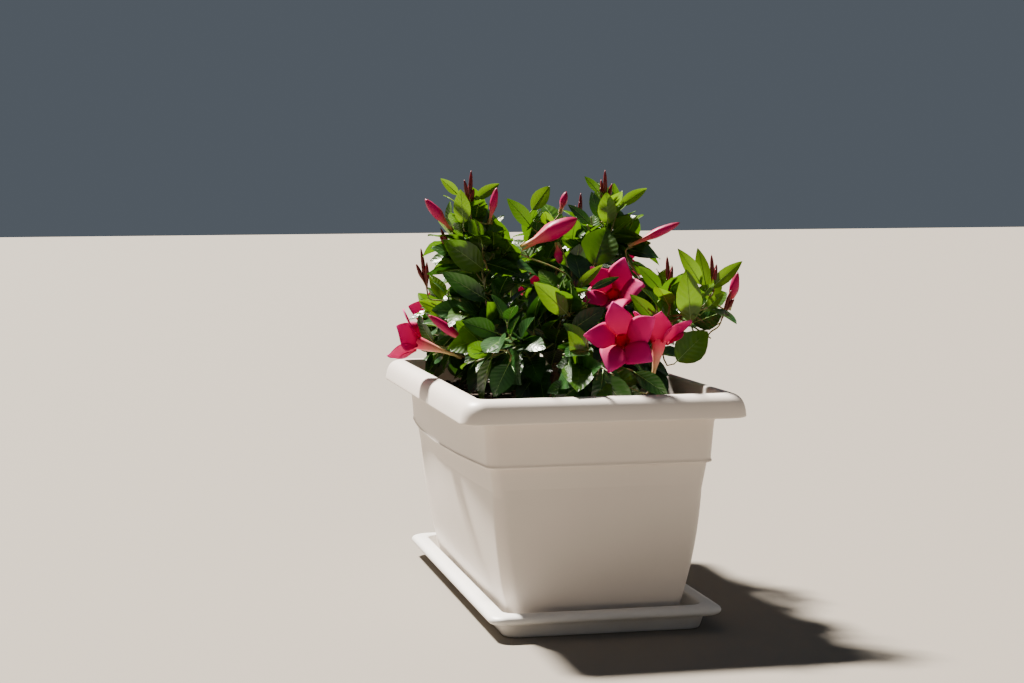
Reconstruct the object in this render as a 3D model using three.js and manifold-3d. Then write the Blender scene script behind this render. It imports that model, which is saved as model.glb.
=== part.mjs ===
// A potted dipladenia: a deep plastic trough on its saucer, filled with potting mix, and one clump
// of a low flowering shrub whose stems fork into boughs, each of which ends in a mass of leafy shoots.
// Millimetres. The origin is on the ground under the middle of the trough, +Z is up and the narrow
// front faces -Y.

import * as THREE from 'three';
import { mergeVertices } from 'three/addons/utils/BufferGeometryUtils.js';
import Module from 'manifold-3d';

const wasm = await Module();
wasm.setup();

// Trough and saucer
const RIM_WIDTH = 300;
const RIM_DEPTH = 550;
const RIM_TOP = 250;
const RIM_LOW = 225;
const RIM_INNER = 128;
const RIM_CORNER = 22;
const COLLAR_INSET = 16;
const COLLAR_LOW = 177;
const COLLAR_HALF = 119;
const COLLAR_STEP = 6.5;
const COLLAR_SLOPE = 0.07;
const BODY_CURVE = 0.0008;
const BODY_CORNER = 14;
const SIDE_BOW = 14;
const WALL = 3;
const FOOT = 4;
const SAUCER_HALF = 124;
const SAUCER_LIP_INNER = 105;
const SAUCER_TOP = 27;
const SAUCER_BASE_HALF = 106;
const SAUCER_CORNER = 16;
const SAUCER_RIGHT = 6;
const SAUCER_BACK = 15;
const SAUCER_FLOOR = 3.7;
const GAP = 0.3;
const WELD = 1e-3;
const LONGER = (RIM_DEPTH - RIM_WIDTH) / 2;
const CORNER_STEPS = 4;
const LONG_SIDE_STEPS = 4;

// Potting mix
const MIX_TOP = 222;
const MIX_SLUMP = 4;

// Stems, boughs and twigs
const STEM_FOOT_RADIUS = 6.5;
const STEM_TIP_RADIUS = 5;
const ROOT_FLARE = 1.5;
const BOUGH_FOOT_RADIUS = 2.6;
const BOUGH_TIP_RADIUS = 1.9;
const STEM_SIDES = 6;
const BOUGH_SIDES = 5;
const LIMB_STEPS = 4;
const TWIG_RADIUS = 1.7;
const TWIG_TIP_RADIUS = 0.9;
const TWIG_SIDES = 3;
const LEADER_STEPS = 3;
const SPRIG_STEPS = 2;
const SPRIG_LENGTH = 60;
const SPRIG_VARIES = 26;
const SPRIG_OPEN = 0.95;
const STALK_RADIUS = 1.1;
const STALK_LENGTH = 22;
const LEAF_STALK = 6;
const MASS_ENTRY = 48;
const GOLDEN_ANGLE = 2.4;

// Leaves, flowers and buds
const LEAF_LENGTH = 60;
const LEAF_RATIO = 0.64;
const LEAF_THICKNESS = 0.9;
const LEAF_SPACING = 19;
const LEAF_SINK = 0.1;
const LEAF_APART = 4.5;
const LEAF_CLEAR = 3;
const LEAF_TURNS = [0, 0.5, -0.5, 0.25, 0.9];
const LEAF_OUTLINE = [[0, 0], [0.44, 1], [1, 0], [0.44, -1]];
const PETAL_OUTLINE = [[0, 0], [0.4, 1], [0.78, 1], [1, 0], [0.78, -1], [0.4, -1]];
const FLOWER_LENGTH = 54;
const FLOWER_MOUTH = 9;
const PETAL_LENGTH = 33;
const PETAL_WIDTH = 30;
const PETAL_THICKNESS = 0.9;
const FLOWER_REACH = 38;
const BUD_RADIUS = 4.4;
const YOUNG_BUD_LENGTH = 36;
const YOUNG_BUD_RADIUS = 1.9;

// The crown's reach, the peaks of its outline over the leading tips, how far twigs stay below that
// outline, how the crown's underside rises outside the rim, and how far twigs and leaves keep from
// other masses and from limbs
const CROWN_LEFT = -150;
const CROWN_RIGHT = 165;
const CROWN_FRONT = -262;
const CROWN_BACK = 262;
const TIP_RISE = 30;
const TIP_SPREAD = 22;
const CROWN_FALL = 2;
const TWIGS_BELOW = 40;
const UNDER_RISE = 1.8;
const CELL_MARGIN = 0.5;
const LIMB_MARGIN = 3.5;

// Each stem: where it leaves the potting mix and where it forks
const STEMS = [
  { foot: [-16, -66], fork: [-24, -108, 262] },
  { foot: [26, -44], fork: [56, -86, 264] },
  { foot: [-34, -2], fork: [-60, -14, 266] },
  { foot: [10, 14], fork: [20, 14, 282] },
  { foot: [-14, 62], fork: [-22, 108, 264] },
  { foot: [32, 54], fork: [56, 84, 266] },
];

// Each mass of foliage: the stem that carries it, its heart, the tips of its leading shoots,
// how many side shoots it has and how steeply they rise, and how many young buds stand at each tip
const MASSES = [
  { name: 'top_left', stem: 2, heart: [-88, -38, 384], tips: [[-98, -40, 444]], sprigs: 4, rise: 0.3, buds: 3 },
  { name: 'top_middle', stem: 3, heart: [-8, 36, 374], tips: [[10, 30, 424]], sprigs: 4, rise: 0.3 },
  { name: 'top_right', stem: 3, heart: [60, -14, 384], tips: [[62, -20, 444]], sprigs: 4, rise: 0.3, buds: 3 },
  {
    name: 'front_right', stem: 1, heart: [112, -158, 306],
    tips: [[94, -162, 350], [138, -184, 352]], sprigs: 5, rise: 0.1, buds: 2,
  },
  { name: 'front_middle', stem: 0, heart: [-10, -112, 322], tips: [[-2, -122, 372]], sprigs: 4, rise: 0.2 },
  { name: 'front_low', stem: 0, heart: [8, -192, 272], tips: [[-8, -212, 306]], sprigs: 5, rise: 0.05 },
  { name: 'front_left', stem: 0, heart: [-78, -164, 284], tips: [[-86, -184, 322]], sprigs: 4, rise: 0 },
  { name: 'left_middle', stem: 2, heart: [-94, -82, 312], tips: [[-104, -92, 358]], sprigs: 3, rise: 0.2 },
  { name: 'left_low', stem: 2, heart: [-100, 34, 292], tips: [[-116, 30, 334]], sprigs: 4, rise: 0.1 },
  { name: 'right_middle', stem: 1, heart: [102, -60, 304], tips: [[110, -64, 346]], sprigs: 4, rise: 0.1 },
  { name: 'right_low', stem: 5, heart: [104, 58, 296], tips: [[114, 62, 342]], sprigs: 3, rise: 0.1 },
  { name: 'back_left', stem: 4, heart: [-46, 120, 366], tips: [[-52, 128, 414]], sprigs: 3, rise: 0.3, buds: 2 },
  { name: 'back_right', stem: 5, heart: [60, 112, 370], tips: [[66, 118, 418]], sprigs: 3, rise: 0.3, buds: 2 },
  { name: 'back_middle', stem: 4, heart: [4, 190, 308], tips: [[8, 202, 354]], sprigs: 3, rise: 0.1 },
  { name: 'back_low_left', stem: 4, heart: [-82, 184, 278], tips: [[-88, 198, 316]], sprigs: 3, rise: 0.05 },
  { name: 'back_low_right', stem: 5, heart: [90, 176, 284], tips: [[98, 190, 324]], sprigs: 3, rise: 0.05 },
];

// Each open flower: its mass, where its tube starts, the middle of its mouth, its turn, and how wide
// it is open
const FLOWERS = [
  { mass: 'left_low', foot: [-96, -6, 270], mouth: [-151, 6, 289], turn: 0.5, open: 0.62 },
  { mass: 'front_low', foot: [38, -176, 288], mouth: [28, -218, 303], turn: 0.3, open: 1 },
  { mass: 'front_low', foot: [64, -200, 252], mouth: [76, -190, 300], turn: 0.1, open: 0.66 },
  { mass: 'front_middle', foot: [60, -76, 322], mouth: [47, -110, 346], turn: 0.9, open: 0.8 },
  { mass: 'right_low', foot: [112, 64, 290], mouth: [144, 84, 308], turn: 0.2, open: 1 },
  { mass: 'back_right', foot: [92, 136, 352], mouth: [118, 164, 370], turn: 0.8, open: 0.9 },
  { mass: 'back_middle', foot: [30, 206, 320], mouth: [38, 244, 336], turn: 0.4, open: 1 },
  { mass: 'back_low_left', foot: [-72, 206, 288], mouth: [-82, 246, 304], turn: 0.7, open: 0.9 },
];

// Each swollen bud: its mass, its foot and its tip, and how fat it is
const BUDS = [
  { mass: 'front_middle', foot: [-50, -88, 396], tip: [12, -92, 428], girth: 2.3 },
  { mass: 'front_middle', foot: [-12, -96, 402], tip: [-10, -100, 378], girth: 1.1 },
  { mass: 'top_left', foot: [-118, -42, 414], tip: [-148, -44, 450], girth: 1.3 },
  { mass: 'top_left', foot: [-78, -52, 422], tip: [-70, -54, 462], girth: 1 },
  { mass: 'top_middle', foot: [20, 26, 432], tip: [27, 24, 457], girth: 1 },
  { mass: 'right_middle', foot: [76, -66, 396], tip: [134, -72, 422], girth: 1.2 },
  { mass: 'front_right', foot: [156, -176, 330], tip: [165, -182, 371], girth: 1.2 },
  { mass: 'left_middle', foot: [-100, -62, 288], tip: [-149, -62, 324], girth: 1.2 },
  { mass: 'back_left', foot: [-56, 150, 420], tip: [-74, 168, 452], girth: 1.2 },
  { mass: 'back_low_right', foot: [116, 212, 336], tip: [132, 234, 366], girth: 1.2 },
];

// Each leading leaf, which stands out at the crown's edge or front: its mass, its foot, its tip,
// and its width as a share of its length
const LEADING_LEAVES = [
  { mass: 'top_left', foot: [-108, -58, 422], tip: [-112, -62, 460], ratio: 0.5 },
  { mass: 'top_left', foot: [-92, -42, 448], tip: [-65, -44, 467], ratio: 0.4 },
  { mass: 'top_left', foot: [-110, -40, 454], tip: [-130, -44, 472], ratio: 0.4 },
  { mass: 'top_left', foot: [-88, -64, 373], tip: [-132, -78, 405], ratio: 0.55 },
  { mass: 'top_middle', foot: [-14, 20, 436], tip: [6, 18, 464], ratio: 0.55 },
  { mass: 'top_middle', foot: [-16, 14, 417], tip: [-44, 6, 449], ratio: 0.42 },
  { mass: 'top_right', foot: [78, -20, 440], tip: [110, -22, 461], ratio: 0.35 },
  { mass: 'top_right', foot: [60, -36, 420], tip: [58, -40, 456], ratio: 0.6 },
  { mass: 'top_right', foot: [53, -24, 427], tip: [46, -20, 457], ratio: 0.45 },
  { mass: 'top_right', foot: [54, -22, 456], tip: [38, -20, 474], ratio: 0.4 },
  { mass: 'top_right', foot: [38, -60, 375], tip: [55, -52, 418], ratio: 0.9 },
  { mass: 'left_low', foot: [-114, 10, 321], tip: [-148, 0, 336], ratio: 0.45 },
  { mass: 'front_middle', foot: [-12, -140, 327], tip: [-48, -152, 361], ratio: 0.48 },
  { mass: 'front_middle', foot: [1, -130, 353], tip: [27, -140, 379], ratio: 0.3 },
  { mass: 'front_left', foot: [-88, -140, 308], tip: [-127, -150, 322], ratio: 0.5 },
  { mass: 'front_left', foot: [-90, -208, 280], tip: [-108, -220, 250], ratio: 0.7 },
  { mass: 'left_middle', foot: [-91, -100, 341], tip: [-140, -104, 372], ratio: 0.4 },
  { mass: 'front_right', foot: [98, -180, 277], tip: [131, -184, 309], ratio: 0.74 },
  { mass: 'front_right', foot: [110, -190, 319], tip: [103, -200, 374], ratio: 0.5 },
  { mass: 'front_right', foot: [123, -186, 358], tip: [98, -190, 396], ratio: 0.35 },
  { mass: 'front_right', foot: [129, -184, 353], tip: [122, -178, 397], ratio: 0.35 },
  { mass: 'front_right', foot: [133, -188, 354], tip: [165, -196, 383], ratio: 0.35 },
  { mass: 'front_right', foot: [126, -184, 329], tip: [147, -190, 350], ratio: 0.4 },
];

const PLASTIC = { color: 0xe9e5dc, roughness: 0.45, metalness: 0 };
const MIX = { color: 0x3a2b20, roughness: 0.95, metalness: 0 };
const BARK = { color: 0x6b5136, roughness: 0.8, metalness: 0 };
const FOLIAGE = { color: 0x3f7a22, roughness: 0.4, metalness: 0 };

const UP = new THREE.Vector3(0, 0, 1);
const FRONTWARD = new THREE.Vector3(-0.3, -1.4, -0.3);
const group = new THREE.Group();

function vector(list) {
  return new THREE.Vector3(list[0], list[1], list[2]);
}

// Random numbers that come out the same each time from one seed
function seeded(seed) {
  let state = Math.imul(seed + 1, 2654435761) >>> 0;
  return () => {
    state = (Math.imul(state, 1664525) + 1013904223) >>> 0;
    return state / 4294967296;
  };
}

// Triangles on merged corners, without empty ones, with their faces pointing out
function cleaned(geometry) {
  geometry.deleteAttribute('normal');
  geometry.deleteAttribute('uv');
  const places = geometry.attributes.position.array;
  for (let i = 0; i < places.length; i++) places[i] = Math.round(places[i] / WELD) * WELD;
  const merged = mergeVertices(geometry, WELD);
  const corner = (index) => new THREE.Vector3().fromBufferAttribute(merged.attributes.position, index);
  const kept = [];
  let volume = 0;
  for (let i = 0; i < merged.index.count; i += 3) {
    const [a, b, c] = [0, 1, 2].map((k) => merged.index.getX(i + k));
    if (a === b || b === c || c === a) continue;
    kept.push([a, b, c]);
    volume += corner(a).dot(corner(b).cross(corner(c)));
  }
  const order = volume > 0 ? (face) => face : (face) => [face[0], face[2], face[1]];
  merged.setIndex(kept.flatMap(order));
  return merged;
}

function asManifold(geometry) {
  const clean = cleaned(geometry);
  return new wasm.Manifold(new wasm.Mesh({
    numProp: 3,
    vertProperties: new Float32Array(clean.attributes.position.array),
    triVerts: new Uint32Array(clean.index.array),
  }));
}

function asGeometry(manifold) {
  const mesh = manifold.getMesh();
  const geometry = new THREE.BufferGeometry();
  geometry.setAttribute('position', new THREE.BufferAttribute(new Float32Array(mesh.vertProperties), 3));
  geometry.setIndex(new THREE.BufferAttribute(new Uint32Array(mesh.triVerts), 1));
  return geometry;
}

function add(name, geometry, finish) {
  geometry.computeVertexNormals();
  const mesh = new THREE.Mesh(geometry, new THREE.MeshStandardMaterial(finish));
  mesh.name = name;
  group.add(mesh);
}

// The plan of the trough at one level: a rounded oblong whose long sides bow outward
function planRing({ half, corner, bow, longer }) {
  const ring = [];
  const straightX = half - corner;
  const straightY = half + longer - corner;
  const centre = (quarter) => [[1, 1], [-1, 1], [-1, -1], [1, -1]][quarter % 4];
  for (let quarter = 0; quarter < 4; quarter++) {
    const [sideX, sideY] = centre(quarter);
    for (let step = 0; step <= CORNER_STEPS; step++) {
      const angle = (quarter + step / CORNER_STEPS) * Math.PI / 2;
      ring.push([
        sideX * straightX + corner * Math.cos(angle),
        sideY * straightY + corner * Math.sin(angle),
      ]);
    }
    if (quarter % 2 === 0) continue;
    for (let step = 1; step < LONG_SIDE_STEPS; step++) {
      const along = 1 - 2 * step / LONG_SIDE_STEPS;
      ring.push([sideX * (half + bow * (1 - along * along)), sideY * along * straightY]);
    }
  }
  return ring;
}

// A lathed profile whose round rings are drawn out to the plan of the trough
function lathed(levels) {
  const rings = levels.map((level) => (level.half > 0 ? planRing(level) : null));
  const columns = rings.find((ring) => ring).length;
  const profile = levels.map((level) => new THREE.Vector2(level.half, level.z));
  const geometry = new THREE.LatheGeometry(profile, columns);
  for (let column = 0; column <= columns; column++) {
    levels.forEach((level, row) => {
      const [x, y] = rings[row] ? rings[row][column % columns] : [0, 0];
      geometry.attributes.position.setXYZ(column * levels.length + row, x, y, level.z);
    });
  }
  return cleaned(geometry);
}

// Half the width of the trough's body at a height
function bodyHalf(z) {
  const drop = COLLAR_LOW - z;
  return COLLAR_HALF - COLLAR_STEP - BODY_CURVE * drop * drop;
}

function collarHalf(z) {
  return COLLAR_HALF + COLLAR_SLOPE * (z - COLLAR_LOW);
}

// How far the long sides bow outward at a height: less toward the foot
function sideBow(z) {
  return SIDE_BOW * Math.min(1, z / COLLAR_LOW);
}

function level(half, z, corner = BODY_CORNER, bow = sideBow(z), longer = LONGER) {
  return { half, z, corner, bow, longer };
}

// The inside of the trough, from the mix's edge down to the middle of its floor, shrunk by a clearance
function insideLevels(clearance) {
  const top = MIX_TOP - MIX_SLUMP;
  const floor = FOOT + WALL + clearance;
  const corner = BODY_CORNER - WALL;
  const levels = [level(0, floor)];
  for (const z of [floor, 50, 90, 130, COLLAR_LOW]) {
    levels.unshift(level(bodyHalf(z) - WALL - clearance, z, corner));
  }
  levels.unshift(level(collarHalf(top) - WALL - clearance, top, corner));
  return levels;
}

function trough() {
  const half = RIM_WIDTH / 2;
  const rimCrown = [
    [half, RIM_LOW], [half - 0.8, RIM_LOW + 9], [half - 3.5, RIM_LOW + 17],
    [half - 8, RIM_TOP - 3], [half - 14, RIM_TOP - 0.6], [RIM_INNER + 2, RIM_TOP], [RIM_INNER, RIM_TOP - 1.5],
  ];
  const levels = [level(0, FOOT), level(bodyHalf(FOOT) - 2, FOOT), level(bodyHalf(FOOT), FOOT + 2)];
  for (const z of [40, 75, 110, 145, COLLAR_LOW - 2]) {
    levels.push(level(bodyHalf(z), z));
  }
  levels.push(level(COLLAR_HALF - 1, COLLAR_LOW - 1), level(COLLAR_HALF, COLLAR_LOW + 1));
  levels.push(level(collarHalf(RIM_LOW), RIM_LOW));
  levels.push(level(RIM_INNER + 1, RIM_TOP - 8, BODY_CORNER, 3));
  levels.push(level(half - 12, RIM_TOP - 5, RIM_CORNER - 6, 0));
  levels.push(level(half - WALL - 2, RIM_TOP - 11, RIM_CORNER - 4, 0));
  levels.push(level(half - WALL, RIM_LOW, RIM_CORNER - WALL, 0));
  for (const [size, z] of rimCrown) {
    levels.push(level(size, z, RIM_CORNER - (half - size) * 0.5, 0));
  }
  levels.push(level(collarHalf(RIM_LOW) - WALL, RIM_LOW, BODY_CORNER - WALL));
  levels.push(...insideLevels(0));
  add('trough', lathed(levels), PLASTIC);
}

// The trough stands to the left and front of the middle of its saucer
function saucer() {
  const lip = (SAUCER_HALF + SAUCER_LIP_INNER) / 2;
  const profile = [
    [0, 0], [SAUCER_BASE_HALF - 1.5, 0], [SAUCER_BASE_HALF, 1.5], [SAUCER_BASE_HALF + 3, 14],
    [SAUCER_HALF - 5, 16], [SAUCER_HALF - 1, 18], [SAUCER_HALF, 21], [SAUCER_HALF - 2.5, 25],
    [lip + 1, SAUCER_TOP], [SAUCER_LIP_INNER + 1.5, SAUCER_TOP - 1], [SAUCER_LIP_INNER, SAUCER_TOP - 3],
    [SAUCER_LIP_INNER - 3, SAUCER_FLOOR + 2], [SAUCER_LIP_INNER - 5, SAUCER_FLOOR], [0, SAUCER_FLOOR],
  ];
  const levels = profile.map(([half, z]) => level(half, z, SAUCER_CORNER, 0, LONGER + SAUCER_BACK));
  add('saucer', lathed(levels).translate(SAUCER_RIGHT, SAUCER_BACK, 0), PLASTIC);
}

function pottingMix() {
  const levels = insideLevels(GAP);
  const top = levels[0];
  levels.unshift(level(top.half - 14, MIX_TOP, top.corner));
  levels.unshift(level(0, MIX_TOP));
  add('potting_mix', lathed(levels), MIX);
}

// A tapering round limb: a cylinder bent along a curve
function limb(curve, footRadius, tipRadius, sides, steps, flare = 1) {
  const geometry = new THREE.CylinderGeometry(tipRadius, footRadius, 1, sides, steps);
  const frames = curve.computeFrenetFrames(steps);
  const place = geometry.attributes.position;
  for (let i = 0; i < place.count; i++) {
    const ring = Math.round((place.getY(i) + 0.5) * steps);
    const swell = ring === 0 ? flare : 1;
    const point = curve.getPointAt(ring / steps);
    point.addScaledVector(frames.binormals[ring], place.getX(i) * swell);
    point.addScaledVector(frames.normals[ring], place.getZ(i) * swell);
    place.setXYZ(i, point.x, point.y, point.z);
  }
  return geometry;
}

// A curve that leaves along one direction and arrives along another
function bend(start, leaving, end, arriving) {
  const reach = start.distanceTo(end) * 0.4;
  return new THREE.CubicBezierCurve3(
    start,
    start.clone().addScaledVector(leaving, reach),
    end.clone().addScaledVector(arriving, -reach),
    end,
  );
}

// Two directions square to a heading, the first of them level
function acrossOf(heading) {
  const level = new THREE.Vector3().crossVectors(heading, UP);
  if (level.length() < 0.05) level.set(1, 0, 0);
  level.normalize();
  return [level, new THREE.Vector3().crossVectors(level, heading).normalize()];
}

// A direction that stands off a heading by an angle, turned round it
function standingOff(heading, open, turn) {
  const [level, steep] = acrossOf(heading);
  return heading.clone().multiplyScalar(Math.cos(open))
    .addScaledVector(level, Math.sin(open) * Math.cos(turn))
    .addScaledVector(steep, Math.sin(open) * Math.sin(turn))
    .normalize();
}

const masses = MASSES.map((mass, index) => ({
  buds: 0, ...mass, index, heart: vector(mass.heart), shoots: [], leaves: [], blooms: [],
}));
const limbPoints = [];
const bloomSpace = [];

function noteLimb(curve, radius) {
  for (const point of curve.getSpacedPoints(24)) limbPoints.push({ point, radius });
}

// A stem's leaning curve from the potting mix to its fork
function stemCurve(stem) {
  const foot = new THREE.Vector3(stem.foot[0], stem.foot[1], MIX_TOP + GAP);
  const fork = vector(stem.fork);
  const lean = fork.clone().sub(foot).normalize();
  return bend(foot, UP, fork, lean.add(UP).normalize());
}

// The boughs of one stem leave side by side from its tip and part on the way to their masses
function growLimbs() {
  STEMS.forEach((stem, number) => {
    const curve = stemCurve(stem);
    const stemLimb = limb(curve, STEM_FOOT_RADIUS, STEM_TIP_RADIUS, STEM_SIDES, LIMB_STEPS, ROOT_FLARE);
    add(`stem_${number + 1}`, cleaned(stemLimb), BARK);
    noteLimb(curve, STEM_TIP_RADIUS);
    const heading = curve.getTangentAt(1);
    const [level, steep] = acrossOf(heading);
    const fork = curve.getPointAt(1).addScaledVector(heading, GAP);
    const carried = masses.filter((mass) => mass.stem === number);
    const bearing = (mass) => {
      const away = mass.heart.clone().sub(fork);
      return Math.atan2(away.dot(steep), away.dot(level));
    };
    carried.sort((a, b) => bearing(a) - bearing(b));
    const ringRadius = (BOUGH_FOOT_RADIUS + GAP) / Math.sin(Math.PI / Math.max(carried.length, 2));
    carried.forEach((mass, slot) => {
      const angle = bearing(carried[0]) + slot * 2 * Math.PI / carried.length;
      const foot = fork.clone()
        .addScaledVector(level, ringRadius * Math.cos(angle))
        .addScaledVector(steep, ringRadius * Math.sin(angle));
      const inward = fork.clone().sub(mass.heart);
      const entry = mass.heart.clone().addScaledVector(inward.normalize(), MASS_ENTRY);
      const arriving = mass.heart.clone().sub(entry).normalize().add(UP).normalize();
      const bough = bend(foot, heading, entry, arriving);
      const boughLimb = limb(bough, BOUGH_FOOT_RADIUS, BOUGH_TIP_RADIUS, BOUGH_SIDES, LIMB_STEPS);
      add(`bough_${mass.name}`, cleaned(boughLimb), BARK);
      noteLimb(bough, BOUGH_FOOT_RADIUS);
      mass.entry = entry.clone().addScaledVector(arriving, GAP);
      mass.arriving = arriving;
    });
  });
}

// A mass keeps to the space that is nearer to its heart than to any other
function insideCell(point, mass) {
  const own = point.distanceToSquared(mass.heart);
  return masses.every((other) => {
    if (other === mass) return true;
    const clear = (point.distanceToSquared(other.heart) - own) / (2 * other.heart.distanceTo(mass.heart));
    return clear > CELL_MARGIN;
  });
}

// The height of the crown's outline over a place: a peak over each leading tip, and dips between
function crownTop(point) {
  return Math.max(...masses.flatMap((mass) => mass.tips.map(([x, y, z]) => {
    const aside = Math.hypot(point.x - x, point.y - y);
    return z + TIP_RISE - CROWN_FALL * Math.max(0, aside - TIP_SPREAD);
  })));
}

// Within the crown's outline, and clear of the potting mix inside the rim and of the rim itself
function insideCrown(point, below = 0) {
  const inside = RIM_INNER - COLLAR_INSET;
  const overMix = Math.abs(point.x) < inside && Math.abs(point.y) < inside + LONGER;
  const under = UNDER_RISE * Math.max(0, Math.abs(point.x) - RIM_INNER + 8);
  return point.z > (overMix ? MIX_TOP : RIM_TOP) + LEAF_CLEAR + under && point.z < crownTop(point) - below
    && point.x > CROWN_LEFT && point.x < CROWN_RIGHT && point.y > CROWN_FRONT && point.y < CROWN_BACK;
}

function clearOfLimbs(point) {
  return limbPoints.every((limbed) => point.distanceTo(limbed.point) > limbed.radius + LIMB_MARGIN);
}

function clearOfBlooms(point, mass) {
  return bloomSpace.every((space) => {
    if (space.mass === mass && !space.head) return true;
    return point.distanceTo(space.point) > space.radius;
  });
}

function clearOfLeaves(point, mass) {
  const apart = (other) => point.distanceTo(other) > LEAF_APART;
  return mass.leaves.every((leaf) => leaf.samples.every(apart));
}

// The point at a share of a twig's length, on the straight runs that the twig is made of
function onTwig(shoot, along) {
  const run = Math.min(Math.floor(along * shoot.steps), shoot.steps - 1);
  const start = shoot.curve.getPointAt(run / shoot.steps);
  const end = shoot.curve.getPointAt((run + 1) / shoot.steps);
  return start.lerp(end, along * shoot.steps - run);
}

function growShoots(mass) {
  const random = seeded(mass.index);
  mass.tips.forEach((tip, order) => {
    const first = mass.shoots[0];
    const start = order === 0 ? mass.entry : onTwig(first, 0.3);
    const leaving = order === 0 ? mass.arriving : first.curve.getTangentAt(0.3);
    const end = vector(tip);
    const curve = bend(start, leaving, end, end.clone().sub(mass.heart).normalize().add(UP).normalize());
    mass.shoots.push({ curve, leading: true, steps: LEADER_STEPS });
  });
  for (let sprig = 0; sprig < mass.sprigs; sprig++) {
    const parent = mass.shoots[sprig % mass.tips.length];
    const along = 0.15 + 0.6 * sprig / mass.sprigs + 0.06 * random();
    const turn = GOLDEN_ANGLE * sprig + random();
    let length = SPRIG_LENGTH + SPRIG_VARIES * random();
    const heading = standingOff(parent.curve.getTangentAt(along), SPRIG_OPEN, turn);
    const start = onTwig(parent, along);
    for (let attempt = 0; attempt < 4; attempt++) {
      const end = start.clone().addScaledVector(heading, length * 0.8);
      end.addScaledVector(UP, length * mass.rise);
      const middle = start.clone().addScaledVector(heading, length / 2);
      const curve = new THREE.QuadraticBezierCurve3(start, middle, end);
      const path = curve.getSpacedPoints(6).slice(1);
      if (path.every((point) => insideCell(point, mass) && insideCrown(point, TWIGS_BELOW)
        && clearOfBlooms(point, mass) && clearOfLimbs(point))) {
        mass.shoots.push({ curve, leading: false, steps: SPRIG_STEPS });
        break;
      }
      length *= 0.8;
    }
  }
}

// The place on a mass's shoots from which a stalk of about a given length reaches a point
function stalkRoot(mass, target, length = STALK_LENGTH) {
  const shares = [0.2, 0.3, 0.4, 0.5, 0.6, 0.7, 0.8, 0.9];
  const places = mass.shoots.flatMap((shoot) => shares.map((along) => onTwig(shoot, along)));
  const misfit = (place) => {
    const rise = Math.max(0, place.z - target.z);
    return Math.abs(place.distanceTo(target) - length) + 0.4 * rise;
  };
  places.sort((a, b) => misfit(a) - misfit(b));
  return places[0];
}

// A blade has a root, a heading, a side and a face; u runs from root to tip and v from edge to edge
function bladePoint(blade, u, v, lift = 0) {
  const spread = 0.5 * blade.width * Math.sin(Math.PI * u ** blade.shape);
  const arch = blade.length * blade.arch * u * (1 - 1.7 * u);
  return blade.root.clone()
    .addScaledVector(blade.heading, blade.length * u)
    .addScaledVector(blade.side, spread * v)
    .addScaledVector(blade.face, arch + blade.fold * spread * Math.abs(v) + lift);
}

// A thin blade: a flat ball of two rings whose middle is drawn out to the blade's outline
function bladeSolid(blade, outline = LEAF_OUTLINE) {
  const sides = outline.length;
  const geometry = new THREE.SphereGeometry(1, sides, 2);
  const place = geometry.attributes.position;
  for (let i = 0; i < place.count; i++) {
    const onRing = Math.abs(place.getY(i)) < 0.5;
    const angle = Math.atan2(place.getZ(i), -place.getX(i));
    const corner = Math.round(angle / (2 * Math.PI / sides) + sides) % sides;
    const [u, v] = onRing ? outline[corner] : [0.5, 0];
    const lift = onRing ? 0 : Math.sign(place.getY(i)) * blade.thickness / 2;
    const point = bladePoint(blade, u, v, lift);
    place.setXYZ(i, point.x, point.y, point.z);
  }
  return geometry;
}

function bladeSamples(blade) {
  const samples = [];
  for (const u of [0.3, 0.45, 0.6, 0.75, 0.9, 1]) {
    for (const v of [-1, 0, 1]) samples.push(bladePoint(blade, u, v));
  }
  return samples;
}

function leafBlade(root, heading, towardTip, length) {
  const face = towardTip.clone().multiplyScalar(0.7).addScaledVector(UP, 0.5);
  face.addScaledVector(heading, -face.dot(heading)).normalize();
  return {
    root,
    heading,
    face,
    side: new THREE.Vector3().crossVectors(face, heading).normalize(),
    length,
    width: length * LEAF_RATIO,
    thickness: LEAF_THICKNESS,
    shape: 0.85,
    arch: 0.16,
    fold: 0.3,
  };
}

// The leading leaves, broad side to the front, each on its stalk
function growLeadingLeaves() {
  for (const leaf of LEADING_LEAVES) {
    const mass = massOf(leaf);
    const foot = vector(leaf.foot);
    const heading = vector(leaf.tip).sub(foot);
    const length = heading.length();
    const blade = leafBlade(foot, heading.normalize(), FRONTWARD, length);
    blade.width = length * leaf.ratio;
    blade.samples = bladeSamples(blade);
    mass.leaves.push(blade);
    const stalkEnd = foot.clone().addScaledVector(heading, 2);
    mass.blooms.push(stalkSolid(stalkRoot(mass, foot, LEAF_STALK), stalkEnd, heading, 1));
  }
}

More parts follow.
